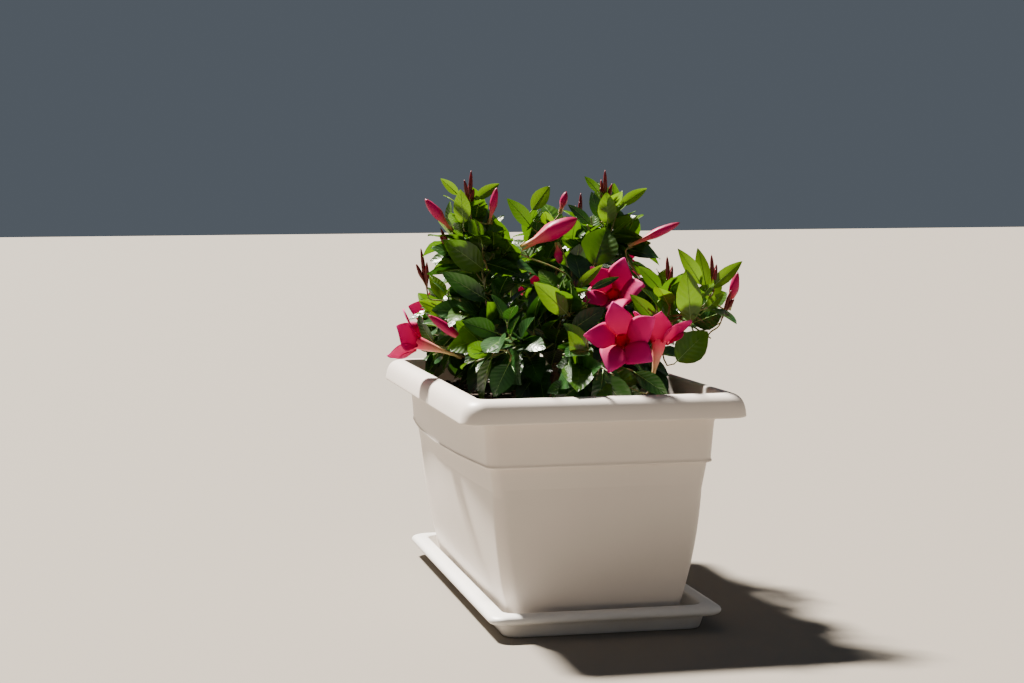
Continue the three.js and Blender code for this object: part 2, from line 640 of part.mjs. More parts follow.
// Pairs of leaves along a shoot, each pair square to the last; a leaf that doesn't fit is turned,
// raised and shortened, and left out after the last try
function growLeaves(mass) {
  const random = seeded(mass.index + 100);
  for (const shoot of mass.shoots) {
    const length = shoot.curve.getLength();
    const pairs = Math.max(2, Math.round(length / LEAF_SPACING));
    for (let pair = 0; pair < pairs; pair++) {
      const along = Math.min((pair + 0.9) / pairs, 0.97);
      const root = onTwig(shoot, along);
      const tangent = shoot.curve.getTangentAt(along);
      const young = pair / pairs;
      for (const opposite of [0, Math.PI]) {
        const side = pair * Math.PI / 2 + opposite + 0.5 * random();
        const size = LEAF_LENGTH * (1 - 0.42 * young * young) * (0.88 + 0.24 * random());
        for (const [attempt, turn] of LEAF_TURNS.entries()) {
          const open = (1.25 - 0.6 * young) * (1 - 0.12 * attempt);
          const heading = standingOff(tangent, open, side + turn);
          const base = root.clone().addScaledVector(heading, LEAF_SINK);
          const blade = leafBlade(base, heading, tangent, size * (1 - 0.08 * attempt));
          blade.samples = bladeSamples(blade);
          const fits = blade.samples.every((point) => insideCell(point, mass) && insideCrown(point)
            && clearOfBlooms(point, mass) && clearOfLimbs(point) && clearOfLeaves(point, mass));
          if (fits) {
            mass.leaves.push(blade);
            break;
          }
        }
      }
    }
  }
}

// A flower's stalk, tube and five petals set like a pinwheel
function flowerSolids(flower) {
  const foot = vector(flower.foot);
  const mouth = vector(flower.mouth);
  const axis = mouth.clone().sub(foot).normalize();
  const [level, steep] = acrossOf(axis);
  const tube = new THREE.LatheGeometry([
    new THREE.Vector2(0, 0), new THREE.Vector2(1.4, 0), new THREE.Vector2(2.4, FLOWER_LENGTH * 0.45),
    new THREE.Vector2(FLOWER_MOUTH, FLOWER_LENGTH), new THREE.Vector2(0, FLOWER_LENGTH - 6),
  ], 6);
  const place = tube.attributes.position;
  const tubeFoot = mouth.clone().addScaledVector(axis, -FLOWER_LENGTH);
  for (let i = 0; i < place.count; i++) {
    const point = tubeFoot.clone()
      .addScaledVector(level, place.getX(i))
      .addScaledVector(axis, place.getY(i))
      .addScaledVector(steep, place.getZ(i));
    place.setXYZ(i, point.x, point.y, point.z);
  }
  const solids = [tube];
  for (let petal = 0; petal < 5; petal++) {
    const turn = flower.turn + petal * 2 * Math.PI / 5;
    const outward = standingOff(axis, Math.PI / 2, turn);
    const heading = standingOff(axis, 1.2 * flower.open, turn);
    const around = new THREE.Vector3().crossVectors(axis, outward).normalize();
    const face = new THREE.Vector3().crossVectors(heading, around).normalize();
    const tilt = 0.22;
    solids.push(bladeSolid({
      root: mouth.clone().addScaledVector(outward, 5).addScaledVector(axis, -4.5),
      heading,
      side: around.clone().multiplyScalar(Math.cos(tilt)).addScaledVector(face, Math.sin(tilt)),
      face: face.clone().multiplyScalar(Math.cos(tilt)).addScaledVector(around, -Math.sin(tilt)),
      length: PETAL_LENGTH + 3,
      width: PETAL_WIDTH,
      thickness: PETAL_THICKNESS,
      shape: 1.5,
      arch: 0.2,
      fold: 0,
    }, PETAL_OUTLINE));
  }
  return solids;
}

// A spindle-shaped bud, fattest past its middle
function budSolid(foot, tip, radius) {
  const geometry = new THREE.SphereGeometry(1, 4, 3);
  const axis = tip.clone().sub(foot);
  const heading = axis.clone().normalize();
  const [level, steep] = acrossOf(heading);
  const place = geometry.attributes.position;
  for (let i = 0; i < place.count; i++) {
    const row = Math.round(Math.acos(THREE.MathUtils.clamp(place.getY(i), -1, 1)) / (Math.PI / 3));
    const along = [1, 0.66, 0.3, 0][row];
    const girth = [0, 1, 0.7, 0][row] * radius / Math.sin(Math.PI / 3);
    const point = foot.clone().addScaledVector(axis, along)
      .addScaledVector(steep, place.getX(i) * girth)
      .addScaledVector(level, place.getZ(i) * girth);
    place.setXYZ(i, point.x, point.y, point.z);
  }
  return geometry;
}

function stalkSolid(start, end, arriving, steps = SPRIG_STEPS) {
  const leaving = end.clone().sub(start).normalize().add(UP).normalize();
  return limb(bend(start, leaving, end, arriving), STALK_RADIUS, STALK_RADIUS, TWIG_SIDES, steps);
}

function massOf(bloom) {
  return masses.find((mass) => mass.name === bloom.mass);
}

function keepClear(mass, from, to, radius, head) {
  for (let step = 0; step <= 5; step++) {
    bloomSpace.push({ mass, head, radius, point: from.clone().lerp(to, step / 5) });
  }
}

// The space of the flowers and buds, which side shoots and leaves keep out of
function noteBlooms() {
  for (const flower of FLOWERS) {
    const mouth = vector(flower.mouth);
    const axis = mouth.clone().sub(vector(flower.foot)).normalize();
    keepClear(massOf(flower), mouth.clone().addScaledVector(axis, -FLOWER_LENGTH), mouth, 7, true);
    const middle = mouth.clone().addScaledVector(axis, 28 - 20 * flower.open);
    const radius = FLOWER_REACH * (0.4 + 0.6 * flower.open);
    bloomSpace.push({ mass: massOf(flower), head: true, radius, point: middle });
  }
  for (const bud of BUDS) {
    keepClear(massOf(bud), vector(bud.foot), vector(bud.tip), BUD_RADIUS * bud.girth + 3, true);
  }
}

// Stalks, flowers and buds
function growBlooms() {
  for (const flower of FLOWERS) {
    const mass = massOf(flower);
    const mouth = vector(flower.mouth);
    const axis = mouth.clone().sub(vector(flower.foot)).normalize();
    const tubeFoot = mouth.clone().addScaledVector(axis, -FLOWER_LENGTH);
    const start = stalkRoot(mass, tubeFoot);
    const stalkEnd = tubeFoot.clone().addScaledVector(axis, 2);
    mass.blooms.push(...flowerSolids(flower), stalkSolid(start, stalkEnd, axis));
    keepClear(mass, start, tubeFoot, 4, false);
  }
  for (const bud of BUDS) {
    const mass = massOf(bud);
    const foot = vector(bud.foot);
    const tip = vector(bud.tip);
    const heading = tip.clone().sub(foot).normalize();
    const start = stalkRoot(mass, foot);
    mass.blooms.push(budSolid(foot, tip, BUD_RADIUS * bud.girth));
    mass.blooms.push(stalkSolid(start, foot.clone().addScaledVector(heading, 3), heading));
    keepClear(mass, start, foot, 4, false);
  }
}

// Young buds in a tuft at the tip of each leading shoot
function youngBuds(mass) {
  const solids = [];
  for (const shoot of mass.shoots.filter((each) => each.leading)) {
    for (let bud = 0; bud < mass.buds; bud++) {
      const foot = onTwig(shoot, 0.96);
      const open = bud === 0 ? 0.05 : 0.3;
      const heading = standingOff(UP, open, bud * GOLDEN_ANGLE + mass.index);
      const tip = foot.clone().addScaledVector(heading, YOUNG_BUD_LENGTH * (bud === 0 ? 1.15 : 0.9));
      solids.push(budSolid(foot, tip, YOUNG_BUD_RADIUS));
    }
  }
  return solids;
}

// Whether every edge of a surface joins just two faces
function isClosed(geometry) {
  const faces = geometry.index.array;
  const edges = new Set();
  for (let i = 0; i < faces.length; i += 3) {
    for (const [a, b] of [[0, 1], [1, 2], [2, 0]]) edges.add(`${faces[i + a]} ${faces[i + b]}`);
  }
  const paired = [...edges].every((edge) => edges.has(edge.split(' ').reverse().join(' ')));
  return paired && edges.size === faces.length;
}

// All of a mass fused into one solid; loose scraps are dropped and sealed hollows filled, and where
// edges cross too finely for the surface to close, twigs swell and leaf roots sink a little more
function fusedMass(mass) {
  const blooms = [...mass.blooms, ...youngBuds(mass)].map(asManifold);
  for (let nudge = 0; nudge < 0.4; nudge += 0.03) {
    const twigs = mass.shoots.map(({ curve, leading, steps }) => {
      const radius = TWIG_RADIUS * (1 + nudge) * (leading ? 1 : 0.8);
      return asManifold(limb(curve, radius, TWIG_TIP_RADIUS * (1 + nudge), TWIG_SIDES, steps));
    });
    const leaves = mass.leaves.map((leaf) => {
      const root = leaf.root.clone().addScaledVector(leaf.heading, -nudge);
      return asManifold(bladeSolid({ ...leaf, root }));
    });
    const pieces = [...twigs, ...leaves, ...blooms].reduce((sum, part) => sum.add(part)).decompose();
    pieces.sort((a, b) => b.volume() - a.volume());
    const geometry = cleaned(asGeometry(pieces[0]));
    if (isClosed(geometry)) return geometry;
  }
  throw new Error(`${mass.name} doesn't close`);
}

trough();
saucer();
pottingMix();
growLimbs();
noteBlooms();
masses.forEach(growShoots);
growBlooms();
growLeadingLeaves();
masses.forEach(growLeaves);
for (const mass of masses) add(`leaves_${mass.name}`, fusedMass(mass), FOLIAGE);

export default group;
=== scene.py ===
# A potted dipladenia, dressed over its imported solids: moulded trough and saucer, barked stems and
# boughs, twigs, leaves, flowers and buds. Shapes are worked out in millimetres and scaled at the end.

from collections import namedtuple
import math

import bmesh
import bpy
import numpy as np
from mathutils import Matrix, Vector


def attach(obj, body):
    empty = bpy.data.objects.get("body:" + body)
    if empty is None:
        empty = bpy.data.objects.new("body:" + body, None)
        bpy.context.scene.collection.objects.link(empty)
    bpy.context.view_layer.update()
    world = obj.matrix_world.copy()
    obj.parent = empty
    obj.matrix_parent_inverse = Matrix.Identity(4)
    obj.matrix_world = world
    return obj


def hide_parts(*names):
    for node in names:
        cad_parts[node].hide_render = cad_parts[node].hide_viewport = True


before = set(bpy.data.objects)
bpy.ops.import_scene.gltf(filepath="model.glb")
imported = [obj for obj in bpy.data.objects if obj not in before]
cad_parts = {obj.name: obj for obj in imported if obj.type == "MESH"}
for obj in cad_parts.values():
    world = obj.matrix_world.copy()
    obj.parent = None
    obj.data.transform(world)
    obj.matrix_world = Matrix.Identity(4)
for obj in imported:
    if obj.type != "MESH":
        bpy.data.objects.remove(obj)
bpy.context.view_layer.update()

MM = 0.001
UP = Vector((0, 0, 1))
FRONTWARD = Vector((-0.3, -1.4, -0.3))
TOWARD_VIEWER = Vector((-0.19, -0.98, 0.07))

# Trough and saucer
RIM_HALF = 150
RIM_TOP = 250
RIM_LOW = 225
RIM_INNER = 128
RIM_CORNER = 22
COLLAR_LOW = 177
COLLAR_HALF = 119
COLLAR_STEP = 6.5
COLLAR_SLOPE = 0.07
BODY_CURVE = 0.0008
BODY_CORNER = 14
SAUCER_CORNER = 16
SIDE_BOW = 14
WALL = 3
FOOT = 4
SAUCER_HALF = 124
SAUCER_LIP_INNER = 105
SAUCER_TOP = 27
SAUCER_BASE_HALF = 106
SAUCER_RIGHT = 6
SAUCER_BACK = 15
SAUCER_FLOOR = 3.7
GAP = 0.3
LONGER = 125
MIX_TOP = 222

# Stems, boughs and twigs
STEM_FOOT_RADIUS = 6.5
STEM_TIP_RADIUS = 5
BOUGH_FOOT_RADIUS = 2.6
BOUGH_TIP_RADIUS = 1.9
TWIG_RADIUS = 1.5
TWIG_TIP_RADIUS = 0.8
SPRIG_LENGTH = 60
SPRIG_VARIES = 26
SPRIG_OPEN = 0.95
STALK_LENGTH = 22
STALK_RADIUS = 0.9
MASS_ENTRY = 48
LIMB_STEPS = 24
SPRIG_TRIES = 4
SHORTENED = 0.8
FINE_SPRIGS = 4
FINE_LENGTH = 44
FINE_VARIES = 20
SIDE_TWIG_LENGTH = 24
SIDE_TWIG_VARIES = 14
GOLDEN_ANGLE = 2.4
FULL_TURN = 6.28

# Leaves, flowers and buds
LEAF_LENGTH = 51
LEAF_RATIO = 0.62
LEAF_STALK = 5
LEAF_STALK_REACH = 6
LEAF_SPACING = 16
LEAF_APART = 2.4
LEAF_CLEAR = 7
LEAF_TURNS = (0, 0.5, -0.5, 0.25, 0.9)
# Tip heights: over the first, tip leaves are young; over the others, leaves are painted lit, not shaded
YOUNG_OVER = 330
LIT_LEADER_OVER = 340
LIT_TIP_OVER = 372
FLOWER_LENGTH = 54
FLOWER_MOUTH = 7.5
PETAL_LENGTH = 37
PETAL_WIDTH = 32
FLOWER_REACH = 36
FLOWER_AIR = 22
TUBE_CLEAR = 6
WIDE_OPEN = 0.85
AIR_FROM = 10
BUD_AIR = 70
LEAF_AIR = 60
BUD_RADIUS = 4.4
YOUNG_BUD_LENGTH = 36
YOUNG_BUD_RADIUS = 2.4

# The crown's reach: its sides, and the peaks over the leading tips
CROWN_LEFT = -150
CROWN_RIGHT = 165
CROWN_FRONT = -262
CROWN_BACK = 262
TIP_RISE = 30
TIP_SPREAD = 22
CROWN_FALL = 2
TWIGS_BELOW = 40
UNDER_RISE = 1.8
INNER_MARGIN = 16
UNDER_MARGIN = 8
OVER_MIX = 3
OVER_RIM = 2
CELL_MARGIN = 0.5
LIMB_MARGIN = 1.5

# Seeds of the random draws; each mass adds its number to the first three
FINE_TWIG_SEED = 400
LEAF_SEED = 100
BOUGH_LEAF_SEED = 700
CRUMB_SEED = 9


def in_space(rows):
    """A table's rows with their places as vectors."""
    return [[Vector(part) if isinstance(part, tuple) else part for part in row] for row in rows]


# Each stem: where its foot stands on the mix, and its fork
STEMS = [
    ((-16, -66), (-24, -108, 262)),
    ((26, -44), (56, -86, 264)),
    ((-34, -2), (-60, -14, 266)),
    ((10, 14), (20, 14, 282)),
    ((-14, 62), (-22, 108, 264)),
    ((32, 54), (56, 84, 266)),
]

# Each mass: its name, its stem, its heart, the tips of its leading shoots, its side shoots,
# how steeply they rise, and the young buds at each tip
MASSES = [
    ("top_left", 2, (-88, -38, 384), [(-98, -40, 444)], 4, 0.3, 3),
    ("top_middle", 3, (-8, 36, 374), [(10, 30, 424)], 4, 0.3, 0),
    ("top_right", 3, (60, -14, 384), [(62, -20, 444)], 4, 0.3, 3),
    ("front_right", 1, (112, -158, 306), [(94, -162, 350), (138, -184, 352)], 5, 0.1, 2),
    ("front_middle", 0, (-10, -112, 322), [(-2, -122, 372)], 4, 0.2, 0),
    ("front_low", 0, (8, -192, 272), [(-8, -212, 306)], 5, 0.05, 0),
    ("front_left", 0, (-78, -164, 284), [(-86, -184, 322)], 4, 0, 0),
    ("left_middle", 2, (-94, -82, 312), [(-104, -92, 358)], 3, 0.2, 0),
    ("left_low", 2, (-100, 34, 292), [(-116, 30, 334)], 4, 0.1, 0),
    ("right_middle", 1, (102, -60, 304), [(110, -64, 346)], 4, 0.1, 0),
    ("right_low", 5, (104, 58, 296), [(114, 62, 342)], 3, 0.1, 0),
    ("back_left", 4, (-46, 120, 366), [(-52, 128, 414)], 3, 0.3, 2),
    ("back_right", 5, (60, 112, 370), [(66, 118, 418)], 3, 0.3, 2),
    ("back_middle", 4, (4, 190, 308), [(8, 202, 354)], 3, 0.1, 0),
    ("back_low_left", 4, (-82, 184, 278), [(-88, 198, 316)], 3, 0.05, 0),
    ("back_low_right", 5, (90, 176, 284), [(98, 190, 324)], 3, 0.05, 0),
]

# Each open flower: its mass, where its tube starts, the middle of its mouth, its turn, and how wide
# it is open
FLOWERS = in_space([
    ("left_low", (-96, -6, 270), (-151, 6, 289), 0.5, 0.62),
    ("front_low", (38, -176, 288), (28, -218, 303), 0.3, 1),
    ("front_low", (64, -200, 252), (76, -190, 300), 0.1, 0.66),
    ("front_middle", (60, -76, 322), (47, -110, 346), 0.9, 0.8),
    ("right_low", (112, 64, 290), (144, 84, 308), 0.2, 1),
    ("back_right", (92, 136, 352), (118, 164, 370), 0.8, 0.9),
    ("back_middle", (30, 206, 320), (38, 244, 336), 0.4, 1),
    ("back_low_left", (-72, 206, 288), (-82, 246, 304), 0.7, 0.9),
])

# Each swollen bud: its mass, its foot and its tip, and how fat it is
BUDS = in_space([
    ("front_middle", (-50, -88, 396), (12, -92, 428), 2.3),
    ("front_middle", (-12, -96, 402), (-10, -100, 378), 1.1),
    ("top_left", (-118, -42, 414), (-148, -44, 450), 1.3),
    ("top_left", (-78, -52, 422), (-70, -54, 462), 1),
    ("top_middle", (20, 26, 432), (27, 24, 457), 1),
    ("right_middle", (76, -66, 396), (134, -72, 422), 1.2),
    ("front_right", (156, -176, 330), (165, -182, 371), 1.2),
    ("left_middle", (-100, -62, 288), (-149, -62, 324), 1.2),
    ("back_left", (-56, 150, 420), (-74, 168, 452), 1.2),
    ("back_low_right", (116, 212, 336), (132, 234, 366), 1.2),
])

# Thin sprays of unopened buds: their mass, where they part, and the tip of the longest
BUD_SPRAYS = in_space([
    ("left_low", (-138, 2, 340), (-147, 2, 396)),
    ("front_right", (146, -180, 316), (158, -186, 352)),
    ("top_left", (-120, -56, 384), (-134, -58, 418)),
    ("back_right", (118, 104, 372), (130, 108, 410)),
])

# Each leading leaf, which stands out at the crown's edge or front: its mass, its foot, its tip, its
# width as a share of its length, and its shade: 'grown' is painted lit, 'dark' is partly painted shade
LEADING_LEAVES = in_space([
    ("top_left", (-108, -58, 422), (-112, -62, 460), 0.5, "young"),
    ("top_left", (-92, -42, 448), (-65, -44, 467), 0.4, "young"),
    ("top_left", (-110, -40, 454), (-130, -44, 472), 0.4, "young"),
    ("top_left", (-88, -64, 373), (-132, -78, 405), 0.55, "grown"),
    ("top_middle", (-14, 20, 436), (6, 18, 464), 0.55, "young"),
    ("top_middle", (-16, 14, 417), (-44, 6, 449), 0.42, "grown"),
    ("top_right", (78, -20, 440), (110, -22, 461), 0.35, "young"),
    ("top_right", (60, -36, 420), (58, -40, 456), 0.6, "young"),
    ("top_right", (53, -24, 427), (46, -20, 457), 0.45, "dark"),
    ("top_right", (54, -22, 456), (38, -20, 474), 0.4, "grown"),
    ("top_right", (46, -14, 420), (22, -8, 443), 0.35, "dark"),
    ("top_right", (38, -60, 375), (55, -52, 418), 0.9, "grown"),
    ("left_low", (-114, 10, 321), (-148, 0, 336), 0.45, "young"),
    ("front_middle", (-12, -140, 327), (-48, -152, 361), 0.48, "young"),
    ("front_middle", (1, -130, 353), (27, -140, 379), 0.3, "young"),
    ("front_middle", (-6, -136, 309), (28, -148, 334), 0.5, "dark"),
    ("front_middle", (16, -132, 352), (50, -128, 366), 0.24, "dark"),
    ("front_left", (-88, -140, 308), (-127, -150, 322), 0.5, "dark"),
    ("front_left", (-90, -208, 280), (-108, -220, 250), 0.7, "dark"),
    ("left_middle", (-91, -100, 341), (-140, -104, 372), 0.4, "dark"),
    ("front_right", (98, -180, 277), (131, -184, 309), 0.74, "grown"),
    ("front_right", (110, -190, 319), (103, -200, 374), 0.5, "young"),
    ("front_right", (123, -186, 358), (98, -190, 396), 0.35, "young"),
    ("front_right", (129, -184, 353), (122, -178, 397), 0.35, "young"),
    ("front_right", (133, -188, 354), (165, -196, 383), 0.35, "young"),
    ("front_right", (126, -184, 329), (147, -190, 350), 0.4, "young"),
    ("front_right", (98, -120, 350), (72, -126, 376), 0.42, "grown"),
    ("front_right", (84, -150, 318), (55, -158, 347), 0.38, "grown"),
    ("front_low", (46, -204, 268), (76, -222, 246), 0.5, "dark"),
])


def seeded(seed):
    """Random numbers that come out the same each time from one seed."""
    state = ((seed + 1) * 2654435761) & 0xFFFFFFFF

    def draw():
        nonlocal state
        state = (state * 1664525 + 1013904223) & 0xFFFFFFFF
        return state / 4294967296

    return draw


class Path:
    """A Bezier curve that is read by the share of its length."""

    def __init__(self, *corners):
        steps = np.linspace(0, 1, 121)[:, None]
        points = [np.array(corner, float)[None, :] for corner in corners]
        while len(points) > 1:
            points = [a * (1 - steps) + b * steps for a, b in zip(points, points[1:])]
        self.points = points[0]
        runs = np.linalg.norm(np.diff(self.points, axis=0), axis=1)
        self.runs = np.concatenate([[0], np.cumsum(runs)])
        self.length = self.runs[-1]

    def at(self, share):
        far = share * self.length
        return Vector([np.interp(far, self.runs, self.points[:, axis]) for axis in range(3)])

    def tangent(self, share):
        low, high = max(share - 0.01, 0), min(share + 0.01, 1)
        return (self.at(high) - self.at(low)).normalized()


def bend(start, leaving, end, arriving):
    """A path that leaves along one direction and arrives along another."""
    reach = (end - start).length * 0.4
    return Path(start, start + leaving * reach, end - arriving * reach, end)


def across_of(heading):
    """Two directions square to a heading, the first of them level."""
    level = heading.cross(UP)
    if level.length < 0.05:
        level = Vector((1, 0, 0))
    level.normalize()
    return level, level.cross(heading).normalized()


def standing_off(heading, open_angle, turn):
    """A direction that stands off a heading by an angle, turned round it."""
    level, steep = across_of(heading)
    sideways = level * math.cos(turn) + steep * math.sin(turn)
    return (heading * math.cos(open_angle) + sideways * math.sin(open_angle)).normalized()


# The growth: limbs, shoots, blooms and leaves, placed by the rule of the solids

class Mass:
    """One mass of the solids: its space, and the shoots and leaves that grow there."""

    def __init__(self, index, row):
        self.index = index
        self.name, self.stem, heart, tips, self.sprigs, self.rise, self.buds = row
        self.heart = Vector(heart)
        self.tips = [Vector(tip) for tip in tips]
        self.shoots = []
        self.leaves = []
        self.samples = np.zeros((0, 3))

    def hold(self, blade, samples):
        self.leaves.append(blade)
        self.samples = np.vstack([self.samples, samples])


masses = [Mass(index, row) for index, row in enumerate(MASSES)]
hearts = np.array([mass.heart for mass in masses])
leading_tips = np.array([tip for mass in masses for tip in mass.tips])
taken = []
stem_paths = []
bough_paths = []


def take(place, radius):
    """Takes a sphere of space for limbs and blooms, which shoots and leaves keep out of."""
    taken.append((*place, radius))


def take_limb(path, radius):
    for step in range(LIMB_STEPS + 1):
        take(path.at(step / LIMB_STEPS), radius + LIMB_MARGIN)


def grow_limbs():
    """Stems rise from the mix, and the boughs of each part from its tip on the way to their masses."""
    for number, (foot_xy, fork_xyz) in enumerate(STEMS):
        foot = Vector((*foot_xy, MIX_TOP + GAP))
        fork = Vector(fork_xyz)
        lean = (fork - foot).normalized()
        path = bend(foot, UP, fork, (lean + UP).normalized())
        stem_paths.append(path)
        take_limb(path, STEM_TIP_RADIUS)
        heading = path.tangent(1)
        level, steep = across_of(heading)
        top = path.at(1) + heading * GAP
        carried = [mass for mass in masses if mass.stem == number]

        def bearing(mass):
            away = mass.heart - top
            return math.atan2(away.dot(steep), away.dot(level))

        carried.sort(key=bearing)
        ring = (BOUGH_FOOT_RADIUS + GAP) / math.sin(math.pi / max(len(carried), 2))
        first = bearing(carried[0])
        for slot, mass in enumerate(carried):
            angle = first + slot * 2 * math.pi / len(carried)
            start = top + level * ring * math.cos(angle) + steep * ring * math.sin(angle)
            entry = mass.heart + (top - mass.heart).normalized() * MASS_ENTRY
            arriving = ((mass.heart - entry).normalized() + UP).normalized()
            bough = bend(start, heading, entry, arriving)
            bough_paths.append(bough)
            take_limb(bough, BOUGH_FOOT_RADIUS)
            mass.entry = entry
            mass.arriving = arriving
            mass.bough = bough


def inside_cell(points, mass):
    """Whether points keep to the space nearer to a mass's heart than to any other."""
    own = ((points - hearts[mass.index]) ** 2).sum(1)
    others = [index for index in range(len(masses)) if index != mass.index]
    away = ((points[:, None, :] - hearts[None, others, :]) ** 2).sum(2)
    apart = np.linalg.norm(hearts[others] - hearts[mass.index], axis=1)
    return ((away - own[:, None]) / (2 * apart[None, :]) > CELL_MARGIN).all()


def crown_top(points):
    """The height of the crown's outline over each place: a peak over each leading tip, dips between."""
    away = points[:, None, :2] - leading_tips[None, :, :2]
    aside = np.maximum(0, np.hypot(away[..., 0], away[..., 1]) - TIP_SPREAD)
    return (leading_tips[None, :, 2] + TIP_RISE - CROWN_FALL * aside).max(1)


def inside_crown(points, below=0):
    """Whether points are in the crown's reach, above the mix inside the rim and above the rim."""
    x, y, z = points.T
    within = (x > CROWN_LEFT) & (x < CROWN_RIGHT) & (y > CROWN_FRONT) & (y < CROWN_BACK)
    over_mix = (np.abs(x) < RIM_INNER - INNER_MARGIN) & (np.abs(y) < RIM_INNER + LONGER - INNER_MARGIN)
    under = UNDER_RISE * np.maximum(0, np.abs(x) - RIM_INNER + UNDER_MARGIN)
    low = np.where(over_mix, MIX_TOP + OVER_MIX, RIM_TOP + OVER_RIM) + under
    return (within & (z > low) & (z < crown_top(points) - below)).all()


def fits(points, mass, below=0):
    """Whether points are in a mass's own space and in the crown, and outside all that is taken."""
    if not (inside_cell(points, mass) and inside_crown(points, below)):
        return False
    spheres = np.array(taken)
    away = np.linalg.norm(points[:, None, :] - spheres[None, :, :3], axis=2)
    return (away > spheres[None, :, 3]).all()


Shoot = namedtuple("Shoot", "path kind radius")


def add_sprig(mass, parent, along, turn, length, open_angle, rise, kind):
    """A side shoot that is shortened until it fits, or left out."""
    heading = standing_off(parent.path.tangent(along), open_angle, turn)
    start = parent.path.at(along)
    for attempt in range(SPRIG_TRIES):
        end = start + heading * length * 0.8 + UP * length * rise
        path = Path(start, start + heading * length / 2, end)
        if fits(np.array([path.at(share / 6) for share in range(1, 7)]), mass, TWIGS_BELOW):
            radius = TWIG_RADIUS * (0.8 if kind == "sprig" else 0.6)
            mass.shoots.append(Shoot(path, kind, radius))
            return
        length *= SHORTENED


def grow_shoots(mass):
    """The leading shoots and side shoots of the solids, then finer twigs between and on them."""
    draw = seeded(mass.index)
    for order, tip in enumerate(mass.tips):
        first = mass.shoots[0] if order else None
        start = first.path.at(0.3) if order else mass.entry
        leaving = first.path.tangent(0.3) if order else mass.arriving
        path = bend(start, leaving, tip, ((tip - mass.heart).normalized() + UP).normalized())
        mass.shoots.append(Shoot(path, "leader", TWIG_RADIUS))
    leaders = list(mass.shoots)
    for sprig in range(mass.sprigs):
        parent = leaders[sprig % len(leaders)]
        along = 0.15 + 0.6 * sprig / mass.sprigs + 0.06 * draw()
        turn = GOLDEN_ANGLE * sprig + draw()
        length = SPRIG_LENGTH + SPRIG_VARIES * draw()
        add_sprig(mass, parent, along, turn, length, SPRIG_OPEN, mass.rise, "sprig")
    fine = seeded(mass.index + FINE_TWIG_SEED)
    for sprig in range(FINE_SPRIGS):
        along = 0.1 + 0.2 * sprig + 0.1 * fine()
        length = FINE_LENGTH + FINE_VARIES * fine()
        turn = GOLDEN_ANGLE * (sprig + 0.5) + fine()
        add_sprig(mass, leaders[sprig % len(leaders)], along, turn, length, 1.1, mass.rise - 0.12, "sprig")
    for parent in [shoot for shoot in mass.shoots if shoot.kind == "sprig"]:
        for side in (1, -1):
            along = 0.35 + 0.3 * fine()
            length = SIDE_TWIG_LENGTH + SIDE_TWIG_VARIES * fine()
            add_sprig(mass, parent, along, side * 1.2 + fine(), length, 0.8, 0.15, "twig")


def stalk_root(mass, target, length=STALK_LENGTH):
    """The place on a mass's shoots from which a stalk of about a given length reaches a point."""
    shares = (0.2, 0.3, 0.4, 0.5, 0.6, 0.7, 0.8, 0.9)
    main = [shoot for shoot in mass.shoots if shoot.kind != "twig"]
    places = [shoot.path.at(along) for shoot in main for along in shares]

    def misfit(place):
        return abs((place - target).length - length) + 0.4 * max(0, place.z - target.z)

    return min(places, key=misfit)


def mass_named(name):
    return next(mass for mass in masses if mass.name == name)


def take_between(start, end, radius):
    for step in range(6):
        take(start.lerp(end, step / 5), radius)


def take_air_before(foot, tip, shares, outlook, reach, radius):
    """The air before parts of a bud or leaf, so that it is seen."""
    for share in shares:
        middle = foot.lerp(tip, share)
        take_between(middle + outlook * AIR_FROM, middle + outlook * reach, radius)


flowers = []
buds = []
stalks = []


def add_stalk(name, foot, heading, overlap, length=STALK_LENGTH):
    """A stalk from a shoot of a mass, which goes into the foot that it carries by an overlap."""
    start = stalk_root(mass_named(name), foot, length)
    end = foot + heading * overlap
    stalks.append(bend(start, ((end - start).normalized() + UP).normalized(), end, heading))


def take_bloom_space():
    """The space of flowers and buds, and the air before them and before the leading leaves."""
    for name, foot, mouth, turn, opened in FLOWERS:
        axis = (mouth - foot).normalized()
        take_between(mouth - axis * FLOWER_LENGTH, mouth, TUBE_CLEAR)
        reach = FLOWER_REACH * (0.4 + 0.6 * opened)
        take(mouth + axis * (28 - 20 * opened), reach)
        if opened > WIDE_OPEN:
            take_between(mouth + axis * 34, mouth + axis * (110 * opened - 30), FLOWER_AIR)
    for name, foot, tip, girth in BUDS:
        take_between(foot, tip, BUD_RADIUS * girth + 2)
        outlook = TOWARD_VIEWER if foot.y < 100 else -TOWARD_VIEWER
        take_air_before(foot, tip, (0.4, 0.7), outlook, BUD_AIR, BUD_RADIUS * girth + 1)
    for name, foot, tip, ratio, shade in LEADING_LEAVES:
        reach = max(LEAF_CLEAR, 0.42 * ratio * (tip - foot).length)
        take_air_before(foot, tip, (0.35, 0.7), TOWARD_VIEWER, LEAF_AIR, reach)


